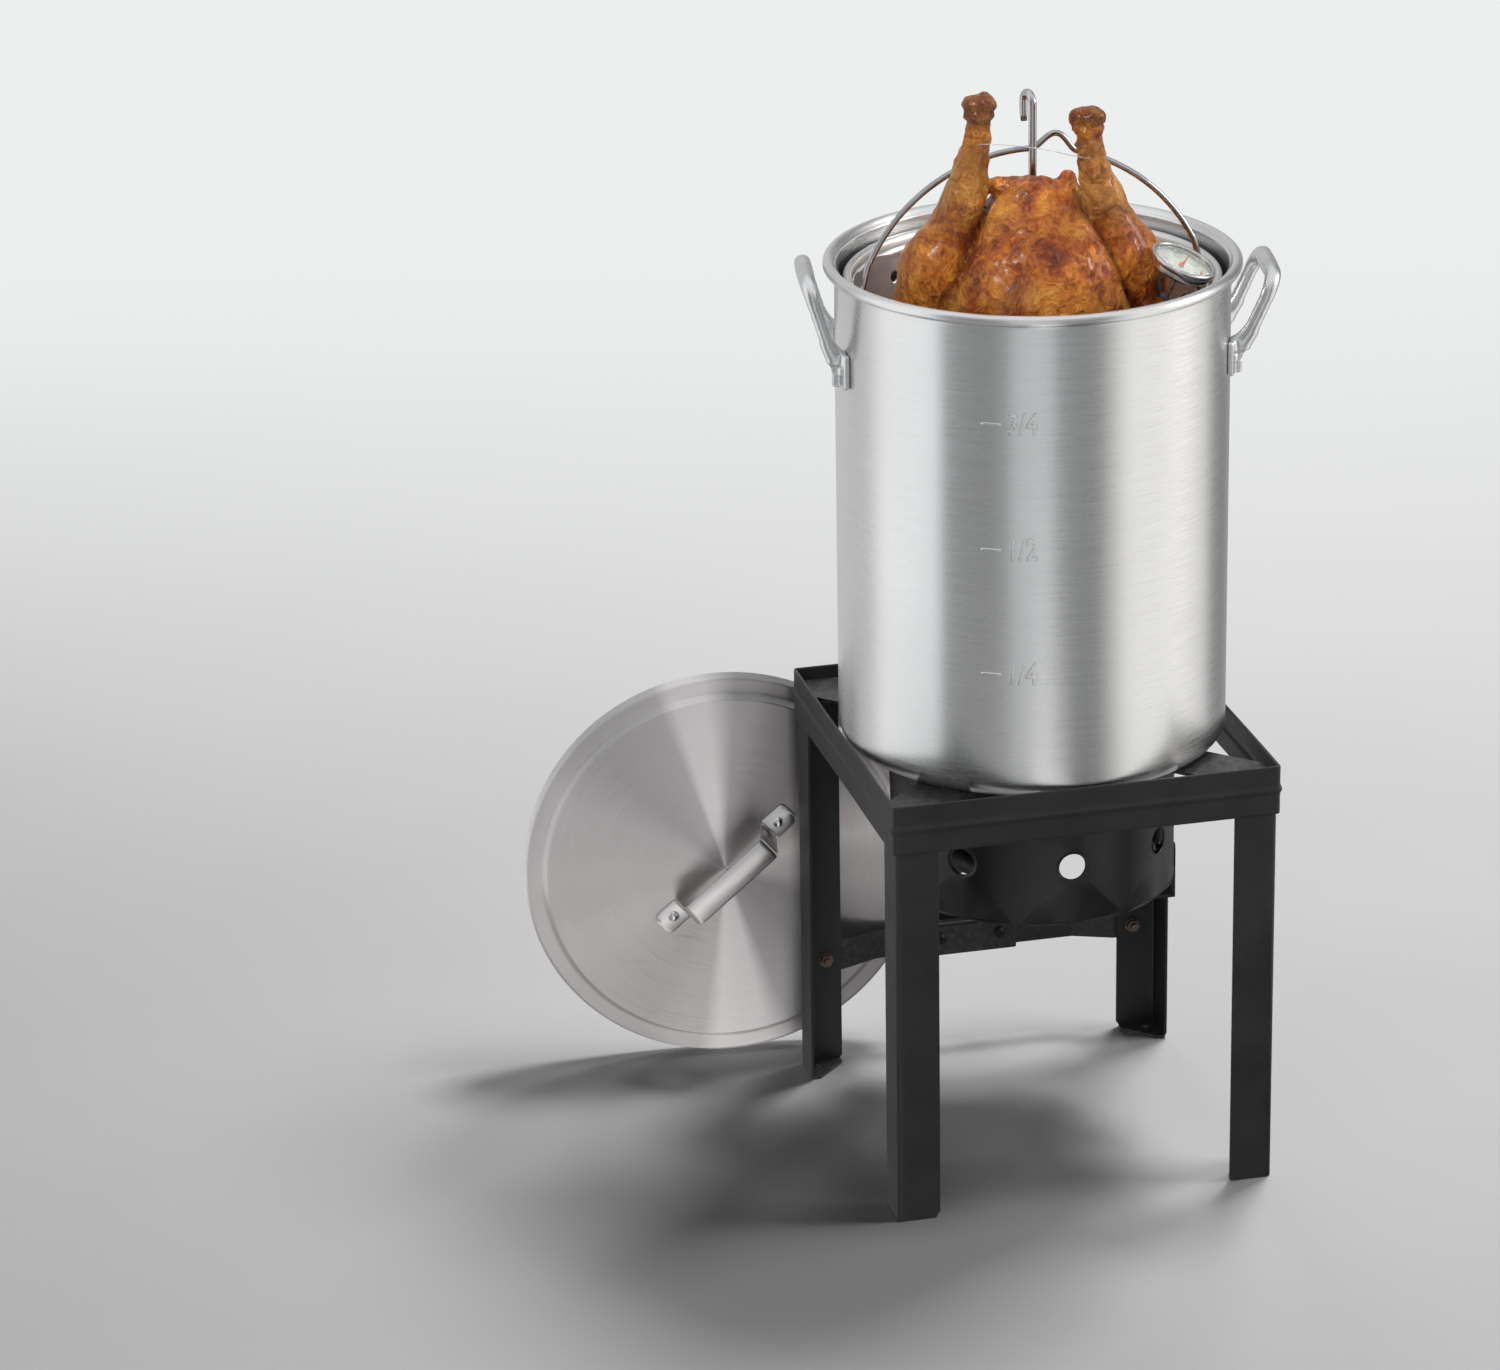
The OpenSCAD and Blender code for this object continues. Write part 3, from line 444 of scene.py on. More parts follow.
# ------------------------------------------------------------------ shader helpers
class Nodes:
    """A cleared node tree, with a method for each common kind of node."""

    def __init__(self, owner):
        owner.use_nodes = True
        self.tree = owner.node_tree
        self.tree.nodes.clear()

    def node(self, kind, inputs=None, **settings):
        made = self.tree.nodes.new('ShaderNode' + kind)
        for key, value in settings.items():
            setattr(made, key, value)
        for key, value in (inputs or {}).items():
            socket = made.inputs[key]
            if isinstance(value, bpy.types.NodeSocket):
                self.tree.links.new(value, socket)
            elif isinstance(value, tuple) and len(value) == 3 and len(socket.default_value) == 4:
                socket.default_value = (*value, 1)
            else:
                socket.default_value = value
        return made

    def math(self, operation, *values):
        return self.node('Math', dict(enumerate(values)), operation=operation).outputs[0]

    def times(self, a, b):
        return self.math('MULTIPLY', a, b)

    def total(self, *terms):
        """Sum of sockets and (socket, weight) pairs."""
        terms = [self.times(*term) if isinstance(term, tuple) else term for term in terms]
        result = terms[0]
        for term in terms[1:]:
            result = self.math('ADD', result, term)
        return result

    def length(self, x, y):
        return self.math('SQRT', self.total((x, x), (y, y)))

    def separate(self, vector):
        return self.node('SeparateXYZ', {0: vector}).outputs

    def ramp(self, value, stops):
        made = self.node('ValToRGB', {0: value})
        elements = made.color_ramp.elements
        while len(elements) < len(stops):
            elements.new(0.5)
        for element, (position, colour) in zip(elements, stops):
            element.position = position
            element.color = (*colour, 1)
        return made.outputs[0]

    def angle_ramp(self, fraction, stops):
        """stops: angle in degrees from -180 to 180, colour"""
        return self.ramp(fraction, [((angle + 180) / 360, colour) for angle, colour in stops])

    def mask(self, value, black, white):
        return self.ramp(value, [(black, (0, 0, 0)), (white, (1, 1, 1))])

    def remap(self, value, span, to, **settings):
        inputs = dict(enumerate((value, *span, *to)))
        return self.node('MapRange', inputs, **settings).outputs[0]

    def mix(self, factor, a, b, mode='MIX'):
        return self.node('Mix', {0: factor, 6: a, 7: b}, data_type='RGBA',
                         blend_type=mode).outputs[2]

    def mix_shader(self, factor, a, b):
        return self.node('MixShader', {0: factor, 1: a, 2: b}).outputs[0]


class Material(Nodes):
    def __init__(self, name):
        self.material = bpy.data.materials.new(name)
        super().__init__(self.material)
        self.place = self.node('TexCoord').outputs['Object']

    def mapping(self, vector, **inputs):
        return self.node('Mapping', {'Vector': vector, **inputs}).outputs[0]

    def noise(self, scale, detail=4, roughness=.5, distortion=0, at=None):
        vector = self.place if at is None else at
        return self.node('TexNoise', {'Vector': vector, 'Scale': scale, 'Detail': detail,
                                      'Roughness': roughness, 'Distortion': distortion}).outputs[0]

    def bump(self, height, strength, distance):
        return self.node('Bump', {'Height': height, 'Strength': strength,
                                  'Distance': distance}).outputs[0]

    def pointiness(self):
        return self.node('NewGeometry').outputs['Pointiness']

    def principled(self, **inputs):
        inputs = {key.replace('_', ' '): value for key, value in inputs.items()}
        return self.node('BsdfPrincipled', inputs).outputs[0]

    def finish(self, shader):
        self.node('OutputMaterial', {0: shader})
        return self.material

    def surface(self, **inputs):
        return self.finish(self.principled(**inputs))


def shade(colour, factor):
    return tuple(min(1, value * factor) for value in colour)


def grey(value):
    return (value, value, value)


# ------------------------------------------------------------------ materials
# painted sheen of a spun face, put into its colour as wedges that run out from the centre: angle,
# brightness
LID_SHEEN = [
    (-180, 1.16), (-160, 1.12), (-140, .9), (-118, .72), (-99, .68), (-93, 1.0), (-78, 1.0),
    (-70, .56), (-48, .50), (-25, .55), (-8, .95), (12, 1.1), (34, .75), (52, .54), (70, .50),
    (86, .60), (95, 1.12), (105, 1.14), (110, .76), (134, .76), (152, 1.0), (180, 1.16)]
SHEEN_PEAK = 1.25                   # sheen is stored divided by this, then multiplied back


def spun_metal(name, base, roughness, anisotropic, disc=False, wear=.5):
    """Aluminium brushed round its axis: fine rings, faint cross scratches, cloudy patches, and on
    a disc a painted conical sheen.
    """
    mat = Material(name)
    x, y, z = mat.separate(mat.place)
    angle = mat.math('ARCTAN2', y, x)
    # noise squeezed along the radius of a disc, or along the height of a wall
    spread = .22 if disc else .5
    along = mat.times(mat.length(x, y), 120) if disc else mat.times(z, 110)
    ring_place = mat.node('CombineXYZ', {0: mat.times(mat.math('COSINE', angle), spread),
                                         1: mat.times(mat.math('SINE', angle), spread),
                                         2: along}).outputs[0]
    coarse = mat.noise(at=ring_place, scale=9, detail=6, roughness=.62)
    fine = mat.noise(at=ring_place, scale=42, detail=3, roughness=.6)
    rings = mat.total((coarse, .6), (fine, .4))
    cloud = mat.noise(scale=9, detail=3)
    scratch_place = mat.mapping(mat.place, Rotation=(.3, .5, .7), Scale=(4, 60, 300))
    scratches = mat.mask(mat.noise(at=scratch_place, scale=3, detail=2), black=.70, white=.76)
    colour = mat.ramp(rings, [(.30, shade(base, .86)), (.55, base), (.75, shade(base, 1.06))])
    clouding = mat.remap(cloud, span=(.35, .7), to=(0, .22))
    colour = mat.mix(clouding, colour, shade(base, .86))
    # painted sheen: on a disc, light and dark wedges round the centre are multiplied into the
    # colour
    if disc:
        sheen = [(a, (k / SHEEN_PEAK, k * .985 / SHEEN_PEAK, k * .985 / SHEEN_PEAK))
                 for a, k in LID_SHEEN]
        painted_sheen_wedges = mat.angle_ramp(mat.remap(angle, span=(-pi, pi), to=(0, 1)), sheen)
        colour = mat.mix(1, colour, painted_sheen_wedges, 'MULTIPLY')
        colour = mat.mix(1, colour, grey(SHEEN_PEAK), 'MULTIPLY')
    base_roughness = mat.remap(rings, span=(.3, .7), to=(roughness - .06, roughness + .08))
    height = mat.total((rings, 1.0), (scratches, -.25 * wear))
    return mat.surface(
        Base_Color=colour, Metallic=1.0, Anisotropic=anisotropic, Anisotropic_Rotation=.25,
        Roughness=mat.total(base_roughness, (cloud, .06), (scratches, .06 * wear)),
        Tangent=mat.node('Tangent', direction_type='RADIAL', axis='Z').outputs[0],
        Normal=mat.bump(height, strength=.03 if disc else .07, distance=.0003))


def cast_metal(name, base, roughness, bump):
    mat = Material(name)
    lumps = mat.noise(scale=55, roughness=.55)
    grain = mat.noise(scale=420, detail=3, roughness=.6)
    colour = mat.ramp(lumps, [(.3, shade(base, .78)), (.6, base), (.8, shade(base, 1.08))])
    edges = mat.remap(mat.pointiness(), span=(.46, .56), to=(0, 1))
    colour = mat.mix(mat.times(edges, .5), colour, shade(base, 1.15))
    return mat.surface(
        Base_Color=colour, Metallic=1.0,
        Roughness=mat.remap(lumps, span=(.3, .7), to=(roughness - .07, roughness + .1)),
        Normal=mat.bump(mat.total((lumps, .8), (grain, .25)), strength=bump, distance=.0009))


def black_paint(name, base, roughness):
    """Semi-matt black enamel: orange peel, dust, rubbed edges."""
    mat = Material(name)
    patches = mat.noise(scale=18, roughness=.55)
    peel = mat.noise(scale=900, detail=2)
    specks = mat.noise(scale=240, detail=3, roughness=.55)
    colour = mat.ramp(patches, [(.3, shade(base, .8)), (.7, shade(base, 1.5))])
    dust = mat.mask(specks, black=.62, white=.80)
    colour = mat.mix(mat.times(dust, .05), colour, (.35, .33, .30))
    # faces that point up are made a little lighter grey
    upward = mat.separate(mat.node('NewGeometry').outputs['Normal'])[2]
    lighter_facing_up = mat.remap(upward, span=(.6, 1), to=(0, 1))
    colour = mat.mix(mat.times(lighter_facing_up, .03), colour, (.4, .38, .35))
    edges = mat.mask(mat.pointiness(), black=.56, white=.66)
    rubbed = mat.times(edges, mat.remap(specks, span=(.45, .6), to=(0, 1)))
    colour = mat.mix(mat.times(rubbed, .35), colour, (.13, .12, .115))
    return mat.surface(
        Base_Color=colour, Specular_IOR_Level=.5,
        Roughness=mat.remap(patches, span=(.3, .7), to=(roughness - .06, roughness + .09)),
        Normal=mat.bump(mat.total((peel, .5), (specks, .6)), strength=.12, distance=.0004))


def worn_metal(name, base, roughness, scale, anisotropic=0, rust=0, streak=(1, 1, 1)):
    """Mottled metal; streak stretches the mottling, rust runs from 0 to 1."""
    mat = Material(name)
    mottle = mat.noise(at=mat.mapping(mat.place, Scale=streak), scale=scale, detail=5,
                       roughness=.6)
    grain = mat.noise(scale=scale * 6, detail=3, roughness=.6)
    colour = mat.ramp(mottle, [(.3, shade(base, .75)), (.62, base)])
    rough = mat.remap(mottle, span=(.3, .7), to=(roughness - .06, roughness + .10))
    metallic = 1.0
    if rust:
        spots = mat.noise(scale=scale * 2.2, detail=5, roughness=.65)
        rusty = mat.mask(spots, black=.46, white=.60)
        colour = mat.mix(mat.times(rusty, rust), colour, (.16, .065, .028))
        metallic = mat.remap(rusty, span=(0, 1), to=(1, 1 - rust))
        rough = mat.total(rough, (rusty, .25 * rust))
    return mat.surface(
        Base_Color=colour, Metallic=metallic, Roughness=rough, Anisotropic=anisotropic,
        Normal=mat.bump(mat.total(mottle, (grain, .4)), strength=.18, distance=.0004))


def roast_skin(name):
    mat = Material(name)
    warp = mat.node('TexNoise', {'Vector': mat.place, 'Scale': 22, 'Detail': 3}).outputs['Color']
    warp = mat.node('VectorMath', {0: warp, 3: .035}, operation='SCALE').outputs[0]
    warped = mat.node('VectorMath', {0: mat.place, 1: warp}, operation='ADD').outputs[0]
    big = mat.noise(at=warped, scale=17, detail=5, roughness=.6, distortion=.4)
    middle = mat.noise(at=warped, scale=62, detail=6, roughness=.65, distortion=.6)
    fine = mat.noise(at=warped, scale=260, detail=5, roughness=.6)
    browning = mat.total((big, .40), (middle, .38), (fine, .22))
    colour = mat.ramp(browning, [
        (.33, (.075, .011, .002)), (.42, (.24, .040, .005)), (.47, (.44, .100, .011)),
        (.51, (.62, .190, .020)), (.56, (.75, .290, .036)), (.65, (.84, .44, .09))])
    # darker red-brown blisters and burnt specks
    cells = mat.node('TexVoronoi', {'Vector': warped, 'Scale': 95}).outputs['Distance']
    uneven = mat.total(cells, (mat.math('SUBTRACT', middle, .5), 1.1))
    spots = mat.mask(uneven, black=.17, white=.06) if False else mat.ramp(
        uneven, [(.06, (1, 1, 1)), (.17, (0, 0, 0))])
    colour = mat.mix(mat.times(spots, .6), colour, (.10, .018, .005))
    red_noise = mat.noise(at=warped, scale=30, roughness=.6, distortion=.3)
    red = mat.mask(red_noise, black=.52, white=.66)
    colour = mat.mix(mat.times(red, .50), colour, (.34, .050, .009))
    # painted shade and highlight: cavities darker, ridges lighter
    painted_relief_shade = mat.ramp(mat.pointiness(), [(.40, grey(.30)), (.50, grey(.95)), (.60, grey(1.3))])
    colour = mat.mix(.75, colour, painted_relief_shade, 'MULTIPLY')
    burn = mat.node('Attribute', attribute_name='burn').outputs['Fac']
    # burnt shank ends, with painted shade in the cavity opening and along the thigh creases
    colour = mat.mix(mat.times(burn, .9), colour, (.085, .013, .004))
    gold = mat.node('Attribute', attribute_name='gold').outputs['Fac']
    gilding = mat.times(gold, mat.remap(middle, span=(.35, .65), to=(.15, .6)))
    colour = mat.mix(gilding, colour, (.74, .42, .11))
    flecks = mat.mask(mat.noise(scale=700, detail=2), black=.66, white=.74)
    colour = mat.mix(mat.times(flecks, .25), colour, (.9, .62, .30))
    wrinkles = mat.noise(at=mat.mapping(warped, Scale=(1, 1, .45)), scale=120, detail=5,
                         roughness=.6, distortion=1.2)
    grain = mat.noise(at=warped, scale=620, detail=3, roughness=.6)
    height = mat.total((middle, 1.2), (wrinkles, 1.7), (fine, 1.1), (grain, .4))
    height = mat.math('SUBTRACT', height, mat.times(spots, .5))
    return mat.surface(
        Base_Color=colour, Roughness=mat.remap(middle, span=(.3, .7), to=(.30, .55)),
        Subsurface_Weight=.10, Subsurface_Scale=.006, Subsurface_Radius=(1, .35, .12),
        Coat_Weight=.34, Coat_Roughness=.2, Specular_IOR_Level=.36,
        Normal=mat.bump(height, strength=1.0, distance=.006))


def clear_glass(name):
    mat = Material(name)
    smears = mat.noise(scale=90, detail=3)
    return mat.surface(
        Base_Color=(.93, .96, .95), Roughness=mat.remap(smears, span=(.3, .7), to=(.02, .10)),
        IOR=1.46, Transmission_Weight=.95, Alpha=.35,
        Normal=mat.bump(smears, strength=.03, distance=.0003))


def plain(name, base, roughness, scale, alpha=1.0):
    mat = Material(name)
    grain = mat.noise(scale=scale, roughness=.55)
    return mat.surface(
        Base_Color=mat.ramp(grain, [(.3, shade(base, .85)), (.7, shade(base, 1.06))]),
        Roughness=mat.remap(grain, span=(.3, .7), to=(roughness - .05, roughness + .08)),
        Metallic=0.0, Alpha=alpha, Normal=mat.bump(grain, strength=.1, distance=.0003))


POT_METAL = spun_metal("pot_brushed", (.81, .812, .815), roughness=.25, anisotropic=.80)
LID_METAL = spun_metal("lid_brushed", (.79, .775, .774), roughness=.33, anisotropic=.985,
                       disc=True)
BASKET_METAL = spun_metal("basket_mill", (.80, .80, .80), roughness=.34, anisotropic=.45, wear=1)
CAST = cast_metal("cast_handle", (.74, .745, .75), roughness=.26, bump=.10)
PAINT = black_paint("black_enamel", (.012, .012, .014), roughness=.42)
RING_PAINT = black_paint("black_ring", (.007, .007, .009), roughness=.40)
IRON = cast_metal("burner_iron", (.09, .085, .082), roughness=.62, bump=.35)
ZINC = worn_metal("dull_zinc", (.22, .19, .17), roughness=.42, scale=160, rust=.75)
BLACK_ZINC = worn_metal("black_zinc", (.035, .034, .036), roughness=.40, scale=200, rust=.12)
BRASS = worn_metal("brass_fitting", (.78, .56, .24), roughness=.30, scale=120)
STEEL = worn_metal("plated_steel", (.66, .66, .67), roughness=.30, scale=90, anisotropic=.3,
                   rust=.12)
BAIL_WIRE = worn_metal("bright_wire", (.50, .50, .515), roughness=.16, scale=40,
                       streak=(1, 1, .2))
ROD_WIRE = worn_metal("rod_wire", (.60, .60, .615), roughness=.14, scale=40, streak=(1, 1, .2))
GAUGE_STEEL = worn_metal("gauge_steel", (.74, .74, .75), roughness=.22, scale=140,
                         anisotropic=.4)
DIAL_FACE = plain("dial_face", (.60, .64, .56), roughness=.45, scale=260)
DIAL_RED = plain("dial_red", (.55, .07, .03), roughness=.5, scale=300)
INK = plain("dial_ink", (.03, .03, .03), roughness=.5, scale=300)
CLIP_STEEL = worn_metal("clip_steel", (.10, .10, .105), roughness=.30, scale=150, anisotropic=.2)
GLASS = clear_glass("gauge_glass")
SKIN = roast_skin("roast_skin")
THREAD = plain("clear_thread", (.85, .86, .86), roughness=.25, scale=500, alpha=.45)
STRAP_METAL = worn_metal("strap_aluminium", (.79, .775, .765), roughness=.30, scale=26,
                         anisotropic=.4, streak=(.12, 3, 1))


# ------------------------------------------------------------------ stand
def add_band():
    """Square band of pressed sheet round the top, with a bead half way up."""
    half_width, corner, thickness = 159.0, 3.2, 2.4
    top, bottom = 359.0, 319.0
    edge, steps = .9, 40            # edge rounding height, points up each face
    half = thickness * .5

    def bead(z):
        d = (z - 339.0) / 2.6
        return 1.7 * exp(-d * d)

    def rolled(z, angles):
        return [(-half + half * cos(radians(a)), z + edge * sin(radians(a))) for a in angles]

    # section points: outward offset, z
    heights = [bottom + (top - bottom) * i / steps for i in range(1, steps)]
    section = rolled(bottom, (-60, -30))
    section += [(bead(z), z) for z in heights]
    section += rolled(top - edge, (20, 50, 90, 130, 160))
    section += [(-thickness + bead(z) * .9, z) for z in reversed(heights)]
    section += rolled(bottom + edge, (200, 235, 270))

    # path points: x, y, outward direction x, y
    path = []
    inset = half_width - corner
    for x, y, start in ((inset, inset, 0), (-inset, inset, 90),
                        (-inset, -inset, 180), (inset, -inset, 270)):
        for i in range(7):
            a = radians(start + 90 * i / 6)
            path.append((x, y, cos(a), sin(a)))
    stations = []
    for here, following in zip(path, path[1:] + path[:1]):
        stations.append(here)
        run_x, run_y = following[0] - here[0], following[1] - here[1]
        if hypot(run_x, run_y) > 50:
            stations += [(here[0] + run_x * (k / 12), here[1] + run_y * (k / 12), *here[2:])
                         for k in range(1, 12)]
    points = []
    for x, y, out_x, out_y in stations:
        for offset, z in section:
            # the sheet is very slightly uneven
            out = corner + offset + .22 * sin(x * .031 + y * .027 + z * .05)
            points.append((x + out_x * out, y + out_y * out, z))
    faces = skin_rings(len(stations), len(section), closed=True)
    add_piece("band_pressed", (points, faces), PAINT, "stand", "black_paint", "top_band", sharp=50)


def add_leg(name, side_x, side_y):
    """Angle-section leg, its bend at the stand's corner and its lower corners rounded."""
    outer, flange, thickness, bend, foot_radius = 156.6, 35.0, 2.2, 3.4, 5
    flat = flange - bend
    # section points: x, y, outward direction x, y, distance from the flange's free edge
    section = [(outer - flange + i / 8 * flat, outer, 0, 1, i / 8 * flat) for i in range(9)]
    for i in range(1, 8):
        a = radians(90 - 90 * i / 8)
        section.append((outer - bend + bend * cos(a), outer - bend + bend * sin(a),
                        cos(a), sin(a), flange))
    section += [(outer, outer - bend - i / 8 * flat, 1, 0, (1 - i / 8) * flat) for i in range(9)]
    heights = [0, .8, 2, 5, 9] + [9 + (345 - 9) * i / 14 for i in range(1, 15)]

    def lowest(edge):
        if edge >= foot_radius:
            return 0
        return foot_radius - sqrt(max(0, foot_radius ** 2 - (foot_radius - edge) ** 2))

    points, faces = [], []
    for depth in (0, thickness):
        for height in heights:
            for x, y, out_x, out_y, edge in section:
                z = max(height, lowest(edge)) if height < 6 else height
                points.append((side_x * (x - out_x * depth), side_y * (y - out_y * depth), z))
    width, rows = len(section), len(heights)

    def at(face, j, i):
        return face * rows * width + j * width + i

    for j in range(rows - 1):
        for i in range(width - 1):
            faces.append((at(0, j, i), at(0, j, i + 1), at(0, j + 1, i + 1), at(0, j + 1, i)))
            faces.append((at(1, j, i), at(1, j + 1, i), at(1, j + 1, i + 1), at(1, j, i + 1)))
        for i in (0, width - 1):
            faces.append((at(0, j, i), at(0, j + 1, i), at(1, j + 1, i), at(1, j, i)))
    for i in range(width - 1):
        for j in (0, rows - 1):
            faces.append((at(0, j, i), at(1, j, i), at(1, j, i + 1), at(0, j, i + 1)))
    leg = add_piece("leg_angle_" + name, (points, faces), PAINT, "stand", "black_paint",
                    "leg_" + name, sharp=40)
    wear_edges(leg, width=.0005, angle=50)


def add_windshield():
    # rows: bottom z, top z, hole centre z, sideways shift
    rows = [(225, 227, None, -.5), (227, 320, 273.5, -.5), (320, 343, None, -.5),
            (343, 345, None, -.5)]
    shape = perforated_tube(radius=116.0, columns=8, rows=rows, hole_radius=11, segments=64)
    ring = add_piece("windshield_rolled", shape, RING_PAINT, "stand", "black_paint",
                     "windshield_ring")
    thicken(ring, 1.6)


add_band()
for leg_name, leg_x, leg_y in (("front_left", -1, -1), ("front_right", 1, -1),
                               ("back_left", -1, 1), ("back_right", 1, 1)):
    add_leg(leg_name, leg_x, leg_y)
add_windshield()

# CAD pieces kept as they are: material, worn edge width in metres, nodes
KEPT_PIECES = [
    (PAINT, .0004, ("foot_plates", "pot_support_bars", "burner_bracket", "back_strap",
                    "strap_plate")),
    (BLACK_ZINC, .0002, ("ring_screws", "plate_screws")),
    (ZINC, .0002, ("burner_bolt", "strap_bolts", "strap_nuts")),
    (IRON, .0006, ("burner_casting",)),
    (BRASS, .0002, ("orifice_fitting",)),
    (STEEL, .0002, ("air_shutter", "bail_ears", "rack_nuts")),
    (CAST, .0002, ("ear_rivets",)),
    (BASKET_METAL, .0003, ("rack_base",)),
    (GAUGE_STEEL, .0001, ("thermometer_hub", "thermometer_stem")),
    (DIAL_RED, 0, ("thermometer_needle",)),
]
for kept_material, edge_width, kept_names in KEPT_PIECES:
    for kept_name in kept_names:
        kept = cad_nodes[kept_name]
        kept.data.materials.clear()
        kept.data.materials.append(kept_material)
        for kept_face in kept.data.polygons:
            kept_face.material_index = 0
        if edge_width:
            wear_edges(kept, edge_width, angle=35)


# ------------------------------------------------------------------ pot
def add_pot():
    wall, corner = 2.0, 15.0
    inside = POT_RADIUS - wall
    bottom, floor = POT_Z, POT_Z + 2.5
    straight = RIM_Z - 8 - bottom - corner
    profile = [(0, bottom + .6), (60, bottom + .4), (118, bottom + .2), (136, bottom)]
    profile += arc(POT_RADIUS - corner, bottom + corner, corner, -88, 0, 14)[1:]
    profile += [(POT_RADIUS, bottom + corner + straight * i / 24) for i in range(1, 24)]
    # rolled rim: flares out and curls back over the wall
    profile += [(POT_RADIUS, RIM_Z - 13), (POT_RADIUS + .1, RIM_Z - 10.5)]
    profile += arc(POT_RADIUS + 4.3, RIM_Z - 4.6, 4.55, -128, 150, 30)
    profile += arc(inside + 2.6, RIM_Z - 6.2, 2.6, 118, 180, 6)
    profile += [(inside, RIM_Z - 8 - straight * i / 24) for i in range(24)]
    profile += arc(POT_RADIUS - corner, floor + corner - wall, corner - wall, 0, -90, 10)[1:]
    profile += [(100, floor), (0, bottom + 2.9)]
    add_piece("pot_spun", revolve(profile, 256, closed=False), POT_METAL, "pot",
              "spun_aluminium", "pot_shell", sharp=40)


def level_text(text, height):
    """Fraction raised from the pot wall."""
    points, faces = text_mesh(text, "lv", size=24, extrude=1.0, bevel_depth=.6,
                              bevel_resolution=3, resolution_u=6)
    a = radians(-109.2) + points[:, 0] * .8 / POT_RADIUS
    radius = POT_RADIUS + points[:, 2] - .10
    return np.stack([radius * np.cos(a), radius * np.sin(a), height + points[:, 1]], 1), faces


def level_dash(height):
    """Soft raised bar to the left of a fraction."""
    steps, across = 14, 9
    points, faces = [], []
    for i in range(steps + 1):
        u = i / steps
        a = radians(-118.0) + (-8.5 + 17 * u) / POT_RADIUS
        swell = sqrt(max(0, 1 - (2 * u - 1) ** 6))
        for k in range(across):
            b = pi * k / (across - 1)
            radius = POT_RADIUS + .75 * sin(b) * swell - .05
            points.append((radius * cos(a), radius * sin(a),
                           height + 1.25 * cos(b) * (swell * .6 + .4)))
    for i in range(steps):
        for k in range(across - 1):
            here, following = i * across + k, (i + 1) * across + k
            faces.append((here, following, following + 1, here + 1))
    return points, faces


def add_level_marks():
    shapes = []
    for height, text in ((659, "3/4"), (556.7, "1/2"), (454, "1/4")):
        shapes += [level_text(text, height), level_dash(height)]
    add_piece("level_marks", join(shapes), POT_METAL, "pot", "spun_aluminium", sharp=60)


def pot_handle(rise, reach):
    """Cast loop handle on the +X side; its grip lies `rise` above and `reach` out of its feet."""
    spread = asin(HANDLE_HALF / POT_RADIUS)
    foot_x = POT_RADIUS * cos(spread) + 7.5
    length = hypot(rise, reach)
    dir_x, dir_z = reach / length, rise / length
    corner = 17.0

    def on_loop(distance, y):
        return (foot_x + dir_x * distance, y, HANDLE_Z + dir_z * distance)

    # centre line of half the loop, from a foot to the middle of the grip
    line = [on_loop(s, HANDLE_HALF) for s in np.linspace(2, length - corner, 8)]
    line += [on_loop(length - corner + corner * sin(radians(b)),
                     HANDLE_HALF - corner + corner * cos(radians(b)))
             for b in np.linspace(12, 90, 7)]
    line += [on_loop(length, y) for y in np.linspace(HANDLE_HALF - corner - 6, 0, 4)]
    line = np.array(line)

    # the arms are slimmer, the grip is thicker
    bars = []
    last = len(line) - 1
    for i in range(last):
        u = i / last
        radii = [5.0 + 1.6 * max(0, (v - .45) / .55) for v in (u, u + 1 / last)]
        bars.append((cone, (line[i], line[i + 1], *radii), 2.5))
    c, s = cos(spread), sin(spread)

    def field(x, y, z):
        y = np.abs(y)
        point = (x, y, z)
        loop = melt(None, point, bars)
        # foot plate tangent to the wall, with a web and a neck up into the arm
        out, side = x * c + y * s, -x * s + y * c
        radius = np.sqrt(x * x + y * y)
        at_foot = (out, side, z)
        plate = np.maximum(rounded_box(at_foot, (158, 0, HANDLE_Z), (8, 9.5, 14), 2.2),
                           np.abs(radius - 158.2) - 2.4)
        web = rounded_box(at_foot, (161.5, -6.5, HANDLE_Z - 1), (3.8, 2.4, 13.5), 1.2)
        neck = cone(point, (foot_x - 3.5, HANDLE_HALF - 1, HANDLE_Z + 9),
                    (foot_x + dir_x * 22, HANDLE_HALF, HANDLE_Z + dir_z * 22), 6.2, 5.2)
        plate = smooth_min(plate, web, 2.0)
        solid = smooth_min(loop, smooth_min(plate, neck, 5.0), 4.0)
        # cut the rivet's seat and the pot wall itself
        seat = np.maximum(np.sqrt(side * side + (z - HANDLE_Z) ** 2) - 6.3, 160.4 - out)
        solid = np.maximum(solid, -seat)
        return np.maximum(solid, POT_RADIUS + .05 - radius)

    return surface_nets(field, (146, -54, HANDLE_Z - 20), (204, 54, RIM_Z + 8), 1.0)


def add_rivets(name, places, radius, height, shank, body, node, matrix=None):
    """Round-head rivets; each place is a matrix in mm with the head along +Z."""
    profile = [(0, height)]
    profile += [(radius * sin(radians(b)), height * cos(radians(b))) for b in range(12, 85, 12)]
    profile += [(radius, -.2), (shank, -.6), (shank, -6), (0, -6)]
    points, faces = revolve(profile, 28, closed=False)
    shapes = [([place @ Vector(point) for point in points], faces) for place in places]
    add_piece(name, join(shapes), CAST, body, "cast_aluminium", node, matrix, sharp=50)


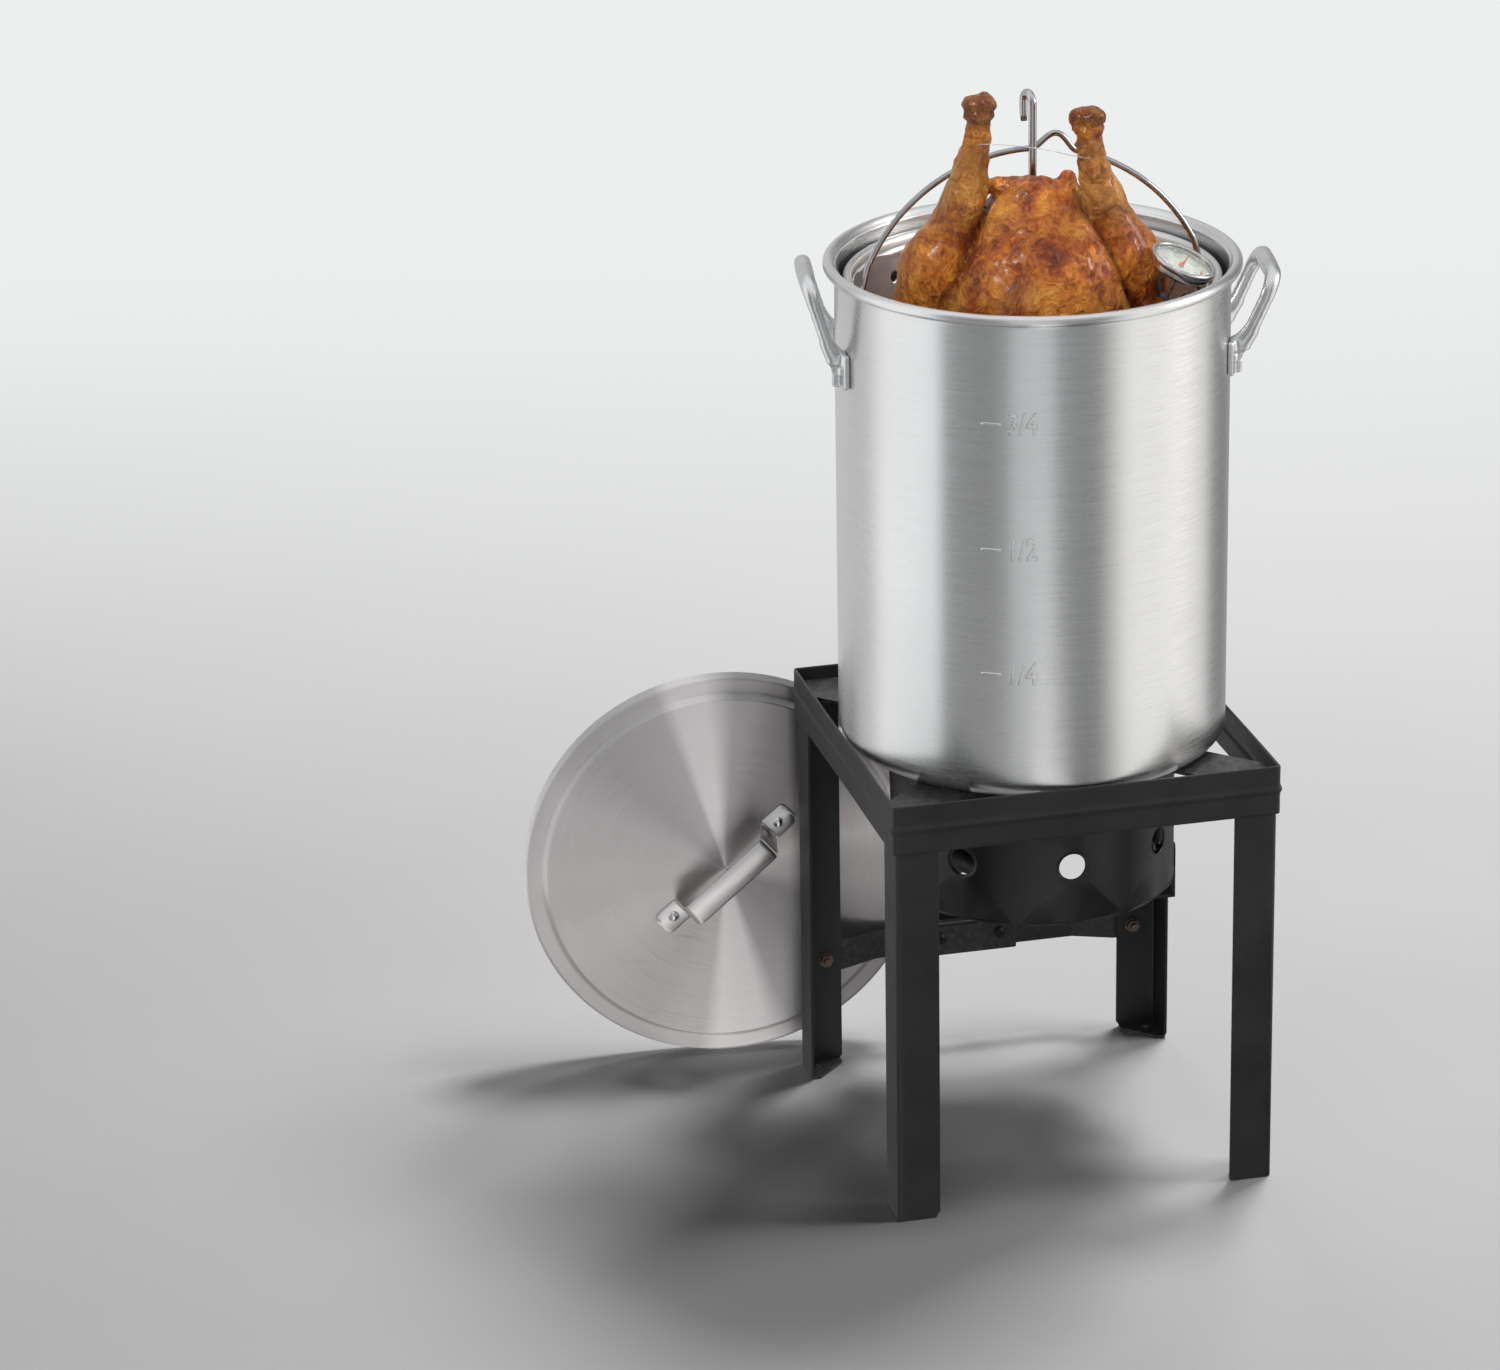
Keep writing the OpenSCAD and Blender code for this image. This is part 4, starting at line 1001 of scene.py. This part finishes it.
add_pot()
add_level_marks()
for side_name, side_turn, rise_reach in (("right", POT_TURN, (63.0, 28.0)),
                                         ("left", POT_TURN + 180, (69.0, 21.0))):
    loop_points, loop_faces = pot_handle(*rise_reach)
    loop_handle = add_piece("pot_loop_" + side_name, (turned(loop_points, side_turn), loop_faces),
                            CAST, "pot", "cast_aluminium", "pot_handle_" + side_name)
    relax(loop_handle, factor=.6, iterations=8)
rivet_angle = degrees(asin(HANDLE_HALF / POT_RADIUS))
add_rivets("pot_rivets",
           [turn(POT_TURN + 180 * half_turns + side * rivet_angle, 'Z')
            @ shift(160.2, 0, HANDLE_Z) @ turn(90, 'Y')
            for half_turns in (0, 1) for side in (-1, 1)],
           radius=5.3, height=3.4, shank=3, body="pot", node="handle_rivets")


# ------------------------------------------------------------------ basket
def add_basket():
    wall, corner, columns = 1.5, 12.0, 18
    bottom, rim = BASKET_Z, BASKET_RIM_Z
    inside, top_row, pitch = BASKET_RADIUS - wall, rim - 32, 62.8
    edges = [bottom + corner + 4] + [top_row - pitch * (j + .5) for j in (4, 3, 2, 1, 0)]
    edges.append(rim - 18)
    # rows: bottom z, top z, hole centre z, sideways shift
    rows = []
    for i in range(6):
        j = 5 - i
        rows.append((edges[i], edges[i + 1], top_row - pitch * j, -.25 + (j % 2) * .5))
    rows.append((rim - 18, rim - 8, None, -.25))
    shape = perforated_tube(BASKET_RADIUS, columns, rows, hole_radius=4.5, segments=32)
    sheet = add_piece("basket_wall", shape, BASKET_METAL, "basket", "basket_aluminium",
                      "basket_shell")
    thicken(sheet, wall)

    profile = arc(BASKET_RADIUS + 2.6, rim - 3.5, 3.5, -150, 175, 22)
    profile += [(inside, rim - 6), (inside, rim - 8.2), (BASKET_RADIUS, rim - 8.2)]
    add_piece("basket_rim", revolve(profile, 192), BASKET_METAL, "basket", "basket_aluminium",
              sharp=35)

    bend_x, bend_z = BASKET_RADIUS - corner, bottom + corner
    profile = [(0, bottom), (120, bottom), (bend_x, bottom)]
    profile += arc(bend_x, bend_z, corner, -85, 0, 8)
    profile += [(BASKET_RADIUS, bend_z + 4.2), (inside, bend_z + 4.2)]
    profile += arc(bend_x, bend_z, corner - wall, 0, -90, 8) + [(0, bottom + wall)]
    add_piece("basket_floor", revolve(profile, 144, closed=False), BASKET_METAL, "basket",
              "basket_aluminium", sharp=35)


def add_bail():
    """Arched wire between the pivots, leaning back slightly, with a small crook at the top."""
    lean, half_span, foot = radians(5), 137.5, 17
    top = 832 - PIVOT_Z             # arch height above the pivots
    rise = top - foot
    radius = (half_span * half_span + rise ** 2) / (2 * rise)
    centre = top - radius
    start = degrees(acos(half_span / radius))
    crook_angle, crook_half, crook_height = 82, 7.6, 12
    # points: x, distance above the pivots
    foot_points = [(BASKET_RADIUS + 4.2, 0), (half_span + 3.2, 0), (half_span + .8, .9),
                   (half_span, 3.4), (half_span, 10)]
    line = list(foot_points)
    for angle in np.linspace(start + 4, 180 - start - 4, 78):
        out = radius
        off = angle - crook_angle
        if abs(off) < crook_half:
            out += crook_height * cos(radians(90 * off / crook_half)) ** 2
        line.append((out * cos(radians(angle)), centre + out * sin(radians(angle))))
    line += [(-x, z) for x, z in reversed(foot_points)]
    path = smooth_path([(x, z * sin(lean), PIVOT_Z + z * cos(lean)) for x, z in line], 5)
    add_piece("bail_wire", sweep(path, 2.45, sides=16, up=(0, 1, 0)), BAIL_WIRE, "bail",
              "bright_wire", "basket_bail")


def add_rod():
    """Rack upright on the Z axis, bent over in a hook at the top."""
    hook, radius = 8.0, 3.2
    bend_z = 880 - hook - radius
    a = radians(BIRD_TURN + 115)
    path = [(0, 0, z) for z in np.linspace(RACK_Z + 2, bend_z - 4, 24)]
    # hook points: distance from the axis, z
    line = [(hook - hook * cos(radians(b)), bend_z + hook * sin(radians(b)))
            for b in np.linspace(0, 180, 18)]
    line += [(2 * hook, bend_z - 4), (2 * hook - .3, bend_z - 10), (2 * hook - .8, bend_z - 16)]
    path += [(x * cos(a), x * sin(a), z) for x, z in line]
    radii = [radius] * (len(path) - 1) + [radius * .8]
    add_piece("rack_upright", sweep(path, radii, sides=18, up=(0, 1, 0)), ROD_WIRE, "rack",
              "bright_wire", "rack_rod")


add_basket()
add_bail()
add_rod()


# ------------------------------------------------------------------ lid
STRAP_TURN = 41                     # handle direction on the lid, degrees


def add_lid():
    outer, seat = 169.0, 155.5      # skirt radius, radius of the groove on the pot rim
    profile = [(0, 6.6), (60, 6.5), (120, 6.3), (seat - 6, 6.0)]
    profile += arc(seat - 5.5, 3.6, 2.4, 88, 20, 6)
    profile += [(seat - 1.2, 1.0), (seat - .2, .25), (seat + 1.4, 0), (seat + 8, .15),
                (outer - 5, .1)]
    profile += arc(outer - 3.4, -3.2, 3.4, 88, 0, 9)
    profile += [(outer, -8), (outer, -12)]
    profile += arc(outer - 1.8, -12.2, 1.8, 0, -180, 10)
    profile += [(outer - 3.4, -10), (outer - 3.0, -4.5)]
    profile += arc(outer - 5.0, -3.6, 2.0, 10, 90, 5)
    profile += [(seat + 2, -1.7), (seat - 2.2, -1.2), (seat - 4, 3.0), (seat - 7, 4.4),
                (90, 4.7), (0, 4.8)]
    add_piece("lid_spun", revolve(profile, 256, closed=False), LID_METAL, "lid",
              "spun_aluminium", "lid_shell", LID_FRAME, sharp=45)


def fillet(before, corner, after, radius):
    """Points round a bend at the corner of a polyline."""
    steps = 6
    before, corner, after = map(np.array, (before, corner, after))
    back = (before - corner) / np.linalg.norm(before - corner)
    ahead = (after - corner) / np.linalg.norm(after - corner)
    angle = acos(np.clip(back @ ahead, -1, 1))
    inset = radius / tan(angle / 2)
    start, end = corner + back * inset, corner + ahead * inset
    bisector = (back + ahead) / np.linalg.norm(back + ahead)
    centre = corner + bisector * radius / sin(angle / 2)
    points = []
    for i in range(steps + 1):
        u = i / steps
        spoke = start * (1 - u) + end * u - centre
        points.append(tuple(centre + spoke / np.linalg.norm(spoke) * radius))
    return points


def add_lid_handle():
    """Bent strap: tab, riser, grip, riser, tab."""
    thickness, width, lid_top, half_length, corner = 2.4, 21.0, 6.2, 73.5, 4.5
    tab_z, grip_z = lid_top + thickness / 2, lid_top + 33
    # corners of the centre line: x, z
    bends = [(-half_length, tab_z), (-48.5, tab_z), (-43.5, grip_z), (0, grip_z),
             (43.5, grip_z), (48.5, tab_z), (half_length, tab_z)]
    tab = (73.4, 72, 70, 66, 58)
    line = [(-x, tab_z) for x in tab]
    line += fillet(*bends[0:3], 3.2) + fillet(*bends[1:4], 4.0)
    line += [(-30, lid_top + 33.2), (-10, lid_top + 33.5), (10, lid_top + 33.5),
             (30, lid_top + 33.2)]
    line += fillet(*bends[3:6], 4.0) + fillet(*bends[4:7], 3.2)
    line += [(x, tab_z) for x in reversed(tab)]
    line = np.array(line)

    def half_width(x, z):
        if abs(x) < 52 and z > lid_top + 3:
            return width / 2 - 1.6 * exp(-((z - lid_top - 12) / 9) ** 2)
        if abs(x) < 50:
            return width / 2 - 1.5
        edge = half_length - abs(x)
        if edge < corner:
            return width / 2 - corner + sqrt(max(0, corner ** 2 - (corner - edge) ** 2))
        return width / 2

    # cross-section: fractions of the half width and half thickness
    section = [(-1, -.55), (-.86, -1), (0, -1), (.86, -1), (1, -.55),
               (1, .55), (.86, 1), (0, 1), (-.86, 1), (-1, .55)]
    rings = []
    for (x, z), (run_x, run_z) in zip(line, unit_tangents(line)):
        wide = half_width(x, z)
        ring = []
        for across, depth in section:
            out = thickness / 2 * depth
            ring.append((x - run_z * out, across * wide, z + run_x * out))
        rings.append(ring)
    add_piece("lid_strap_handle", capped_strip(rings), STRAP_METAL, "lid", "cast_aluminium",
              "lid_handle", LID_FRAME @ turn(STRAP_TURN, 'Z'), sharp=38)


add_lid()
add_lid_handle()
add_rivets("lid_rivet_heads",
           [turn(STRAP_TURN, 'Z') @ shift(side * 60, 0, 8.6) for side in (-1, 1)],
           radius=4.7, height=2.6, shank=2.5, body="lid", node="lid_rivets", matrix=LID_FRAME)


# ------------------------------------------------------------------ thermometer
DIAL_RADIUS = 25.0


def add_gauge_turnings():
    """Case, bezel, lens and face, turned about the dial's axis."""
    r = DIAL_RADIUS
    case = [(1.9, -9), (r - 5, -9)] + arc(r - 2.8, -6.4, 2.6, -90, 0, 8)
    case += [(r - .1, -4), (r - .2, -.8), (r - 1.1, -.8), (r - 1.1, -7.3), (1.9, -7.3)]
    bezel = [(r - 1.0, -.3), (r - 1.2, .2)] + arc(r - .6, .9, 1.0, 180, 90, 5)
    bezel += arc(r + .2, .4, 1.5, 90, -10, 6)
    bezel += [(r + 1.6, -1.2), (r + 1.2, -2.4), (r + .3, -3.0), (r + .05, -2.6), (r + .05, -.3)]
    lens = [(0, -.25), (14, -.3), (r - 1.3, -.5), (r - 1.15, -.8), (r - 1.15, -1.5),
            (14, -1.4), (0, -1.4)]
    face = [(.9, -4.3), (r - 4, -4.4), (r - 1.2, -4.4), (r - 1.2, -5), (.9, -5)]
    # name, profile, segments, closed profile, sharp angle, material, slot, node
    for name, profile, segments, closed, sharp, material, slot, node in (
            ("gauge_case", case, 128, True, 30, GAUGE_STEEL, "gauge_steel", "thermometer_case"),
            ("gauge_bezel", bezel, 128, True, 40, GAUGE_STEEL, "gauge_steel",
             "thermometer_bezel"),
            ("gauge_lens", lens, 96, False, 40, GLASS, "gauge_glass", "thermometer_lens"),
            ("gauge_face", face, 96, True, 40, DIAL_FACE, "gauge_face", "thermometer_dial")):
        add_piece(name, revolve(profile, segments, closed), material, "thermometer", slot, node,
                  DIAL_FRAME, sharp=sharp)


def tick(angle, inner, outer, half_width):
    """Thin radial bar on the dial face."""
    c, s = cos(radians(angle)), sin(radians(angle))
    corners = ((inner, -half_width), (inner, half_width), (outer, half_width),
               (outer, -half_width))
    points = [(r * c - w * s, r * s + w * c, z) for z in (-4.32, -4.32 - .06) for r, w in corners]
    faces = [(0, 1, 2, 3), (4, 5, 6, 7), (0, 1, 5, 4), (1, 2, 6, 5), (2, 3, 7, 6), (3, 0, 4, 7)]
    return points, faces


def add_gauge_marks():
    start_angle, sweep_angle, ticks = 240, 300, 50
    scale = []
    for i in range(ticks + 1):
        angle = start_angle - i * sweep_angle / ticks
        minor = i % 5
        scale.append(tick(angle, 20.2 if minor else 18.8, 21.8, .14 if minor else .26))
    red_zone = [tick(-8 + i * 3.0, 15.6, 18.0, .55) for i in range(10)]
    numbers = []
    for i, text in enumerate(("50", "150", "250", "350", "450", "550")):
        a = radians(start_angle - i * sweep_angle / 5)
        points, faces = text_mesh(text, "num", size=4.4, extrude=.03)
        numbers.append((points + (14.6 * cos(a), 14.6 * sin(a), -4.33), faces))
    for name, shapes, material, slot in (("gauge_ticks", scale, INK, "gauge_face"),
                                         ("gauge_red_zone", red_zone, DIAL_RED, "needle_red"),
                                         ("gauge_numbers", numbers, INK, "gauge_face")):
        add_piece(name, join(shapes), material, "thermometer", slot, matrix=DIAL_FRAME,
                  smooth=False)


def add_stem_clip():
    """Folded spring clip on the stem."""
    half_width, thickness = 4, .8
    # left half of the fold: x, z
    fold = [(-11.5, -21.5), (-11.9, -23), (-8.2, -30), (-6.6, -33.4), (-5.4, -34)]
    fold += [(0, -34)] + [(-x, z) for x, z in reversed(fold)]
    path = smooth_path([(x, 0, z) for x, z in fold], 4)
    section = ((-half_width, 0), (half_width, 0), (half_width, thickness),
               (-half_width, thickness))
    rings = [[(point[0] - run[2] * out, y, point[2] + run[0] * out) for y, out in section]
             for point, run in zip(path, unit_tangents(path))]
    add_piece("stem_clip", capped_strip(rings), CLIP_STEEL, "clip", "clip_steel",
              "thermometer_clip", DIAL_FRAME, sharp=40)


add_gauge_turnings()
add_gauge_marks()
add_stem_clip()


# ------------------------------------------------------------------ bird
# Modelled with x across the drumsticks and the breast towards -y, then turned by BIRD_TURN.
def drumstick(point, side):
    x, y, z = point
    lift = 8 if side < 0 else -3    # one shank stands taller
    thigh, knee, shin = (side * 76, -2, 676), (side * 70, -20, 742), (side * 53, -27, 800)
    ankle, tip = (side * 43.5, -30, 846 + lift), (side * 42, -30, 866 + lift)
    solid = melt(None, point, [
        (cone, (thigh, knee, 40, 33), 0),
        (cone, (knee, shin, 31, 17.5), 14),
        (cone, (shin, ankle, 17, 9.6), 8),
        (cone, (ankle, tip, 9.2, 9.8), 4),
        # knuckle end with two condyles
        (ellipsoid, ((side * 42 + 5, -31, 871 + lift), (8.5, 9.5, 7.5)), 3),
        (ellipsoid, ((side * 42 - 5.5, -28, 870 + lift), (8, 8.5, 7)), 3)])
    # torn skin collar
    collar_radius = np.sqrt((x - side * 42.6)**2 + (y + 30)**2) - 10.2
    collar = np.sqrt(collar_radius**2 + (z - 861 - lift)**2) - 2.3
    return smooth_min(solid, collar, 2.0)


TORSO = [
    (ellipsoid, ((0, 0, RACK_Z + 100), (86, 84, 96)), 0),
    (ellipsoid, ((0, -6, 535), (116, 112, 110)), 30),
    (ellipsoid, ((0, -4, 640), (108, 106, 108)), 30),
    # breast swelling toward the front, ending in the blunt tail end
    (ellipsoid, ((6, -26, 712), (80, 66, 84)), 20),
    (ellipsoid, ((8, -17, 772), (58, 38, 42)), 14),
    (ellipsoid, ((-14, -30, 764), (30, 26, 34)), 10),
    # keel
    (cone, ((0, -74, 700), (0, -30, 804), 13, 8), 24),
]
# folded wings, low at each side
WINGS = [wing for side in (-1, 1) for wing in (
    (cone, ((side * 104, -18, 600), (side * 112, -28, 520), 17, 14), 10),
    (cone, ((side * 112, -28, 520), (side * 86, -72, 560), 13, 9), 8))]
# skin flap and small tail bump beside the rod
FLAPS = [
    (ellipsoid, ((27, -8, 811), (7, 6, 8)), 4),
    (ellipsoid, ((-22, -18, 809), (16, 9, 7)), 5),
]


def bird_field(x, y, z):
    point = (x, y, z)
    solid = melt(None, point, TORSO)
    for side in (-1, 1):
        leg = drumstick(point, side)
        # crease where the thigh meets the body
        crease = 6.0 * np.exp(-((solid - leg) / 4.5) ** 2) * fade(z, 560, 80)
        solid = smooth_min(solid, leg, 3.0) + crease
    solid = melt(solid, point, WINGS)
    # body cavity round the rod, open at the top
    solid = -smooth_min(-solid, ellipsoid(point, (2, 0, 822), (19, 13, 40)), 5.0)
    solid = melt(solid, point, FLAPS)
    # flat where it sits
    return np.maximum(solid, RACK_Z + 16.5 - z)


def field_normals(points):
    reach = 1.2
    slopes = [bird_field(*(points + step).T) - bird_field(*(points - step).T)
              for step in reach * np.eye(3)]
    slopes = np.stack(slopes, 1)
    return slopes / (np.linalg.norm(slopes, axis=1)[:, None] + 1e-9)


def skin_relief(points):
    """Outward displacement of the skin."""
    x, y, z = points.T
    off_middle = np.abs(x) > 28
    on_leg = np.minimum(drumstick(points.T, 1), drumstick(points.T, -1)) < 6
    # broad sags, calmer on the shanks
    depth = np.where(on_leg & (z > 780), .9, 2.4) * relief(points, 34, 3)
    depth = depth + 1.1 * relief(points * np.array([1, 1, .5]), 9, 3)
    # wrinkles near the shank ends
    wrinkled = fade(z, 805, 12) * off_middle
    depth = depth + wrinkled * 1.7 * relief(points * np.array([1, 1, 1.6]), 6.5, 3)
    # lengthwise tendons on the shanks
    shank = fade(z, 775, 30) * fade(z, 866, -12) * off_middle
    angle = np.arctan2(y + 28, np.abs(x) - 47)
    depth = depth + shank * .8 * np.sin(angle * 6 + z * .03)
    # torn cavity edge
    torn = fade(z, 796, 14) * (np.hypot(x, y + 8) < 46)
    depth = depth + torn * 4.0 * relief(points, 7.5, 3)
    depth = depth + .55 * relief(points, 5.2, 2)
    return depth * fade(z, RACK_Z + 18, 12)


def paint_bird(mesh):
    """Store where the skin is burnt or has painted shade, and where it is golden."""
    places = np.empty(len(mesh.vertices) * 3)
    mesh.vertices.foreach_get('co', places)
    places = places.reshape(-1, 3) * 1000
    x, y, z = turned(places, -BIRD_TURN).T
    burn = fade(z, 858, 10) * (np.abs(x) > 22) * .8
    # painted shade: the cavity opening round the rod is darkened
    cavity = np.clip(1 - np.abs(np.hypot(x - 2, y) - 14) / 9, 0, 1) * fade(z, 800, 8)
    burn = np.maximum(burn, cavity * .75)
    # painted shade: darker along the creases where the thighs meet the body
    crease = np.clip(1 - np.abs(np.abs(x) - 52) / 12, 0, 1) * fade(z, 790, -60) * (y < 0) * .5
    burn = np.maximum(burn, crease * np.clip(relief(places, 16, 3) + .55, 0, 1))
    gold = fade(z, 775, 25) * fade(z, 856, -12) * (np.abs(x) > 32)
    gold = np.maximum(gold, np.clip(relief(places, 40, 2) * 1.6, 0, 1) * .7)
    for name, values in (("burn", burn), ("gold", gold)):
        attribute = mesh.attributes.new(name, 'FLOAT', 'POINT')
        attribute.data.foreach_set('value', values.astype(np.float32))


def add_bird():
    step = 2.6
    rod_clearance, bail_clearance = 4.6, 138.5
    points, faces = surface_nets(bird_field, (-136, -132, RACK_Z + 8), (136, 122, 892), step)
    points = points + field_normals(points) * skin_relief(points)[:, None]
    # keep clear of the rod at the axis and of the bail outside
    radius = np.hypot(points[:, 0], points[:, 1])
    near = radius < rod_clearance
    points[near, :2] *= (rod_clearance / np.maximum(radius[near], .1))[:, None]
    points = turned(points, BIRD_TURN)
    radius = np.hypot(points[:, 0], points[:, 1])
    far = radius > bail_clearance
    points[far, :2] *= (bail_clearance / radius[far])[:, None]
    bird = add_piece("bird_roast", (points, faces), SKIN, "rack", "roast_skin", "turkey")
    relax(bird, factor=.45, iterations=2)
    paint_bird(bird.data)


def add_leg_thread():
    """Clear thread tied across the two shank ends."""
    stations = [(-44, -41, 849), (-34, -38, 848.5), (-14, -34, 846), (8, -34, 843),
                (28, -37, 839), (44, -41, 837)]
    path = smooth_path(turned(stations, BIRD_TURN), 8)
    add_piece("leg_thread", sweep(path, .45, sides=8, up=(0, 0, 1)), THREAD, "rack",
              "roast_skin")


add_bird()
add_leg_thread()


# ------------------------------------------------------------------ surroundings (metres)
CAMERA_SIDE = radians(-90) + radians(-16.4)     # direction of the camera as seen from the pot

# reflected surroundings: angle from the camera's side, brightness
SURROUNDINGS = [
    (-180, .60), (-150, .62), (-112, .62), (-98, 1.04), (-57, 1.02), (-52, .36), (-24, .28),
    (-14, .38), (-10, .66), (11, .64), (15, .34), (39, .29), (46, .55), (58, 1.02), (100, .96),
    (120, .80), (132, .30), (150, .25), (170, .45), (180, .60)]
# painted reflection of the floor near the lid, a bright strip ahead with grey beside it:
# angle, brightness
NEAR_FLOOR = [
    (-180, .26), (-60, .34), (-36, .46), (-20, .24), (-12, 1.25), (5, 1.3), (9, .06), (40, .05),
    (72, .36), (180, .26)]


def surroundings(nodes, direction, sign):
    """Colour of the surroundings by direction round the vertical."""
    x, y, _ = nodes.separate(direction)
    c, s = sign * cos(CAMERA_SIDE), sign * sin(CAMERA_SIDE)
    ahead = nodes.total((x, c), (y, s))
    aside = nodes.math('SUBTRACT', nodes.times(y, c), nodes.times(x, s))
    angle = nodes.math('ARCTAN2', aside, ahead)
    fraction = nodes.math('DIVIDE', nodes.math('ADD', angle, pi), 2 * pi)
    stops = []
    for a, v in SURROUNDINGS:
        warm, cool = 40 < a < 130, -60 < a < 40
        stops.append((a, (v * (1 - .015 * cool), v * (1 - .012 * warm),
                          v * (1 - .04 * warm + .012 * cool))))
    return nodes.angle_ramp(fraction, stops)


def floor_material():
    mat = Material("floor_pale")
    patches = mat.noise(scale=2.2, detail=3)
    grain = mat.noise(scale=90, detail=3)
    pale = mat.principled(
        Base_Color=mat.ramp(patches, [(.3, (.80, .80, .815)), (.7, (.84, .84, .85))]),
        Roughness=.55, Specular_IOR_Level=.03,
        Normal=mat.bump(grain, strength=.03, distance=.0005))
    geometry = mat.node('NewGeometry').outputs
    ray = mat.node('LightPath').outputs
    # for glossy rays the floor glows with painted reflections: the surroundings, and close to the
    # lid the near floor
    around = surroundings(mat, geometry['Incoming'], -1)
    x, y, _ = mat.separate(geometry['Position'])
    distance = mat.length(mat.math('SUBTRACT', x, -.20), mat.math('SUBTRACT', y, -.25))
    ray_x, ray_y, _ = mat.separate(geometry['Incoming'])
    angle = mat.math('ARCTAN2', mat.times(ray_x, -1), ray_y)
    fraction = mat.math('ADD', mat.math('DIVIDE', angle, 2 * pi), .5)
    near = mat.angle_ramp(fraction, [(a, (v, v * .985, v * .985)) for a, v in NEAR_FLOOR])
    nearness = mat.remap(distance, span=(.58, .68), to=(1, 0))
    reflected = mat.node('Emission', {0: mat.mix(nearness, around, near)}).outputs[0]
    shader = mat.mix_shader(ray['Is Glossy Ray'], pale, reflected)
    behind = mat.remap(mat.total((x, .2332), (y, .9725)), span=(.2, 2.6), to=(0, 1),
                       interpolation_type='SMOOTHSTEP')
    outward = mat.remap(mat.length(x, y), span=(1.8, 5.0), to=(0, 1),
                        interpolation_type='SMOOTHSTEP')
    far = mat.times(mat.math('MAXIMUM', behind, outward), ray['Is Camera Ray'])
    backdrop = mat.node('Emission', {0: (.845, .86, .855)}).outputs[0]
    return mat.finish(mat.mix_shader(far, shader, backdrop))


def add_floor():
    half = 9.0
    mesh = bpy.data.meshes.new("floor")
    corners = [(-half, -half, 0), (half, -half, 0), (half, half, 0), (-half, half, 0)]
    mesh.from_pydata(corners, [], [(0, 1, 2, 3)])
    floor = bpy.data.objects.new("floor", mesh)
    bpy.context.scene.collection.objects.link(floor)
    floor.location.z = -.0006
    mesh.materials.append(floor_material())


def add_light(name, angle, distance, height, target_z, size, power, colour, glossy=False,
              lights=None):
    """Area light at an angle from the camera's side, positive to the right.

    lights: "kit" for everything but the floor, or one object's name; None lights everything
    """
    light = bpy.data.lights.new(name, 'AREA')
    light.energy = power
    light.color = colour
    light.size = size
    lamp = bpy.data.objects.new(name, light)
    bpy.context.scene.collection.objects.link(lamp)
    a = CAMERA_SIDE + radians(angle)
    lamp.location = (distance * cos(a), distance * sin(a), height)
    aim = Vector((0, 0, target_z)) - Vector((distance * cos(a), distance * sin(a), height))
    lamp.rotation_euler = aim.to_track_quat('-Z', 'Y').to_euler()
    lamp.visible_glossy = glossy
    if lights:
        receivers = bpy.data.collections.new(name + "_receivers")
        for piece in bpy.context.scene.objects:
            if piece.type == 'MESH' and piece.name != "floor" and lights in ("kit", piece.name):
                receivers.objects.link(piece)
        lamp.light_linking.receiver_collection = receivers


add_floor()
# name, angle, distance, height, target height, size, power, colour
for key_light in (
        ("key_right", 98, 1.7, 4.2, .3, .9, 41, (1, .99, .97)),
        ("key_top", 145, 1.6, 4.2, .3, .9, 79, (1, .995, .98)),
        ("key_back", 165, 3.3, 3.2, .3, .9, 22, (1, 1, .99)),
        ("key_low", 195, 4.0, 2.3, .3, .9, 15, (1, 1, .99))):
    add_light(*key_light)
add_light("fill_front", -25, 2.6, 1.9, .6, 1.6, 48, (1, 1, 1), lights="kit")
add_light("fill_side", 95, 2.2, 1.5, .6, .8, 16, (1, .97, .93), glossy=True, lights="kit")
add_light("glint_left", -38, 1.8, 2.0, .75, .26, 15, (1, 1, 1), glossy=True, lights="bird_roast")
add_light("glint_right", 60, 1.7, 1.9, .75, .22, 10, (1, .98, .95), glossy=True,
          lights="bird_roast")


def add_world():
    """Dim ambient light, banded surroundings in reflections, a pale backdrop for the camera."""
    world = bpy.data.worlds.new("studio")
    bpy.context.scene.world = world
    nodes = Nodes(world)
    direction = nodes.node('TexCoord').outputs['Generated']
    around = surroundings(nodes, direction, 1)
    upward = nodes.remap(nodes.separate(direction)[2], span=(.5, .9), to=(0, 1))
    reflected = nodes.mix(upward, around, (.90, .91, .93))
    ray = nodes.node('LightPath').outputs
    unseen = nodes.mix(ray['Is Glossy Ray'], (.024, .0245, .026), reflected)
    colour = nodes.mix(ray['Is Camera Ray'], unseen, (.85, .86, .87))
    background = nodes.node('Background', {0: colour, 1: 1.0})
    nodes.node('OutputWorld', {0: background.outputs[0]})


def add_camera():
    position = Vector((-1.24967, -4.23738, 2.09772))
    forward = Vector((0.217431589, 0.90686363, -0.361001191))
    right = Vector((0.970860321, -0.239116154, -0.015928038))
    upward = Vector((0.100765775, 0.347018474, 0.93242932))
    camera = bpy.data.cameras.new("cam")
    holder = bpy.data.objects.new("cam", camera)
    bpy.context.scene.collection.objects.link(holder)
    placing = Matrix((right, upward, -forward)).transposed().to_4x4()
    placing.translation = position
    holder.matrix_world = placing
    camera.sensor_width = 36
    camera.lens = 140.7792
    camera.clip_start = .1
    camera.clip_end = 60
    bpy.context.scene.camera = holder


add_world()
add_camera()
view = bpy.context.scene.view_settings
view.view_transform = 'Standard'
view.look = 'None'
view.exposure = 0.0
